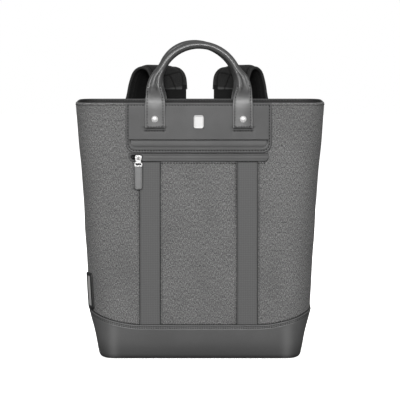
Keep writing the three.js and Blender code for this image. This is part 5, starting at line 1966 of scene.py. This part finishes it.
# %% [markdown]
# ## Studio
#
# The bag stands on a white floor that glows a little of its own, as a lit table does, so that it
# stays white to the horizon. The sky is white where the camera sees it and dim where it lights the
# bag, because even light from everywhere would flatten the leather, and dimmer still from below.
# A tall soft lamp at the upper left models the shapes, a large one in front fills them and puts a
# glow in the metal, and a weak one at the right opens the shadows. A lamp behind lights the back
# for other views. No reflection shows it, so it leaves no specks on the front.

# %% Floor
FLOOR_SIZE = 30.0
FLOOR_GLOW = 0.84
FLOOR_DROP = 0.2 * MM
WHITE = (1.0, 1.0, 1.0, 1.0)


def add_floor():
    finish = Finish("studio_floor")
    cloud = finish.noise(finish.place(), 1.5, detail=1.0)
    material = finish.surface(
        base_color=finish.blend(cloud, grey(248), grey(252)),
        roughness=0.85 + 0.05 * cloud,
        specular_ior_level=0.1,
        emission_color=WHITE,
        emission_strength=FLOOR_GLOW,
    )
    mesh = bpy.data.meshes.new("floor")
    sides = (-FLOOR_SIZE, FLOOR_SIZE)
    points = [(x, y, -FLOOR_DROP) for x in sides for y in sides]
    mesh.from_pydata(points, [], [(0, 2, 3, 1)])
    mesh.materials.append(material)
    floor = bpy.data.objects.new("floor", mesh)
    bpy.context.scene.collection.objects.link(floor)
    floor.visible_diffuse = False
    floor.visible_glossy = False
    floor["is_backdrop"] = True


add_floor()


# %% Sky and lamps
SKY_SEEN = 1.0
SKY_LIGHT = 0.42
SKY_BELOW = 0.06
# Heights on the sky, from -1 straight down to 1 straight up, between which it gets brighter
SKY_FADE = (-0.4, 0.5)
AIM = Vector((0.0, 0.0, 0.25))
# Where each soft lamp stands, its width and height, and its power in watts
LAMPS = {
    "key": ((-1.35, -2.5, 1.5), (1.2, 1.8), 43),
    "front": ((-0.1, -3.1, 1.25), (1.1, 0.8), 64),
    "fill": ((1.7, -2.2, 1.0), (0.9, 1.6), 27),
    "back": ((0.9, 3.0, 1.3), (1.8, 1.8), 60),
}


def add_lamp(name, place, size, power):
    light = bpy.data.lights.new(name, "AREA")
    light.shape = "RECTANGLE"
    light.size, light.size_y = size
    light.energy = power
    lamp = bpy.data.objects.new(name, light)
    bpy.context.scene.collection.objects.link(lamp)
    lamp.location = place
    lamp.rotation_euler = (Vector(place) - AIM).to_track_quat("Z", "Y").to_euler()
    lamp.visible_camera = False
    lamp.visible_glossy = name != "back"


def add_sky():
    sky = bpy.data.worlds.new("sky")
    sky.use_nodes = True
    tree = sky.node_tree
    way = tree.nodes.new("ShaderNodeTexCoord")
    split = tree.nodes.new("ShaderNodeSeparateXYZ")
    dome = tree.nodes.new("ShaderNodeMapRange")
    names = ("From Min", "From Max", "To Min", "To Max")
    for key, value in zip(names, (*SKY_FADE, SKY_BELOW, SKY_LIGHT)):
        dome.inputs[key].default_value = value
    seen = tree.nodes.new("ShaderNodeLightPath")
    strength = tree.nodes.new("ShaderNodeMapRange")
    strength.inputs["To Max"].default_value = SKY_SEEN
    tree.links.new(way.outputs["Generated"], split.inputs["Vector"])
    tree.links.new(split.outputs["Z"], dome.inputs["Value"])
    tree.links.new(dome.outputs["Result"], strength.inputs["To Min"])
    tree.links.new(seen.outputs["Is Camera Ray"], strength.inputs["Value"])
    background = tree.nodes["Background"]
    background.inputs["Color"].default_value = WHITE
    tree.links.new(strength.outputs["Result"], background.inputs["Strength"])
    bpy.context.scene.world = sky


add_sky()
for name, (place, size, power) in LAMPS.items():
    add_lamp(name, place, size, power)
bpy.context.scene.view_settings.view_transform = "Standard"
print("lamps:", ", ".join(LAMPS))

# %% Sizes
low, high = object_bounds()
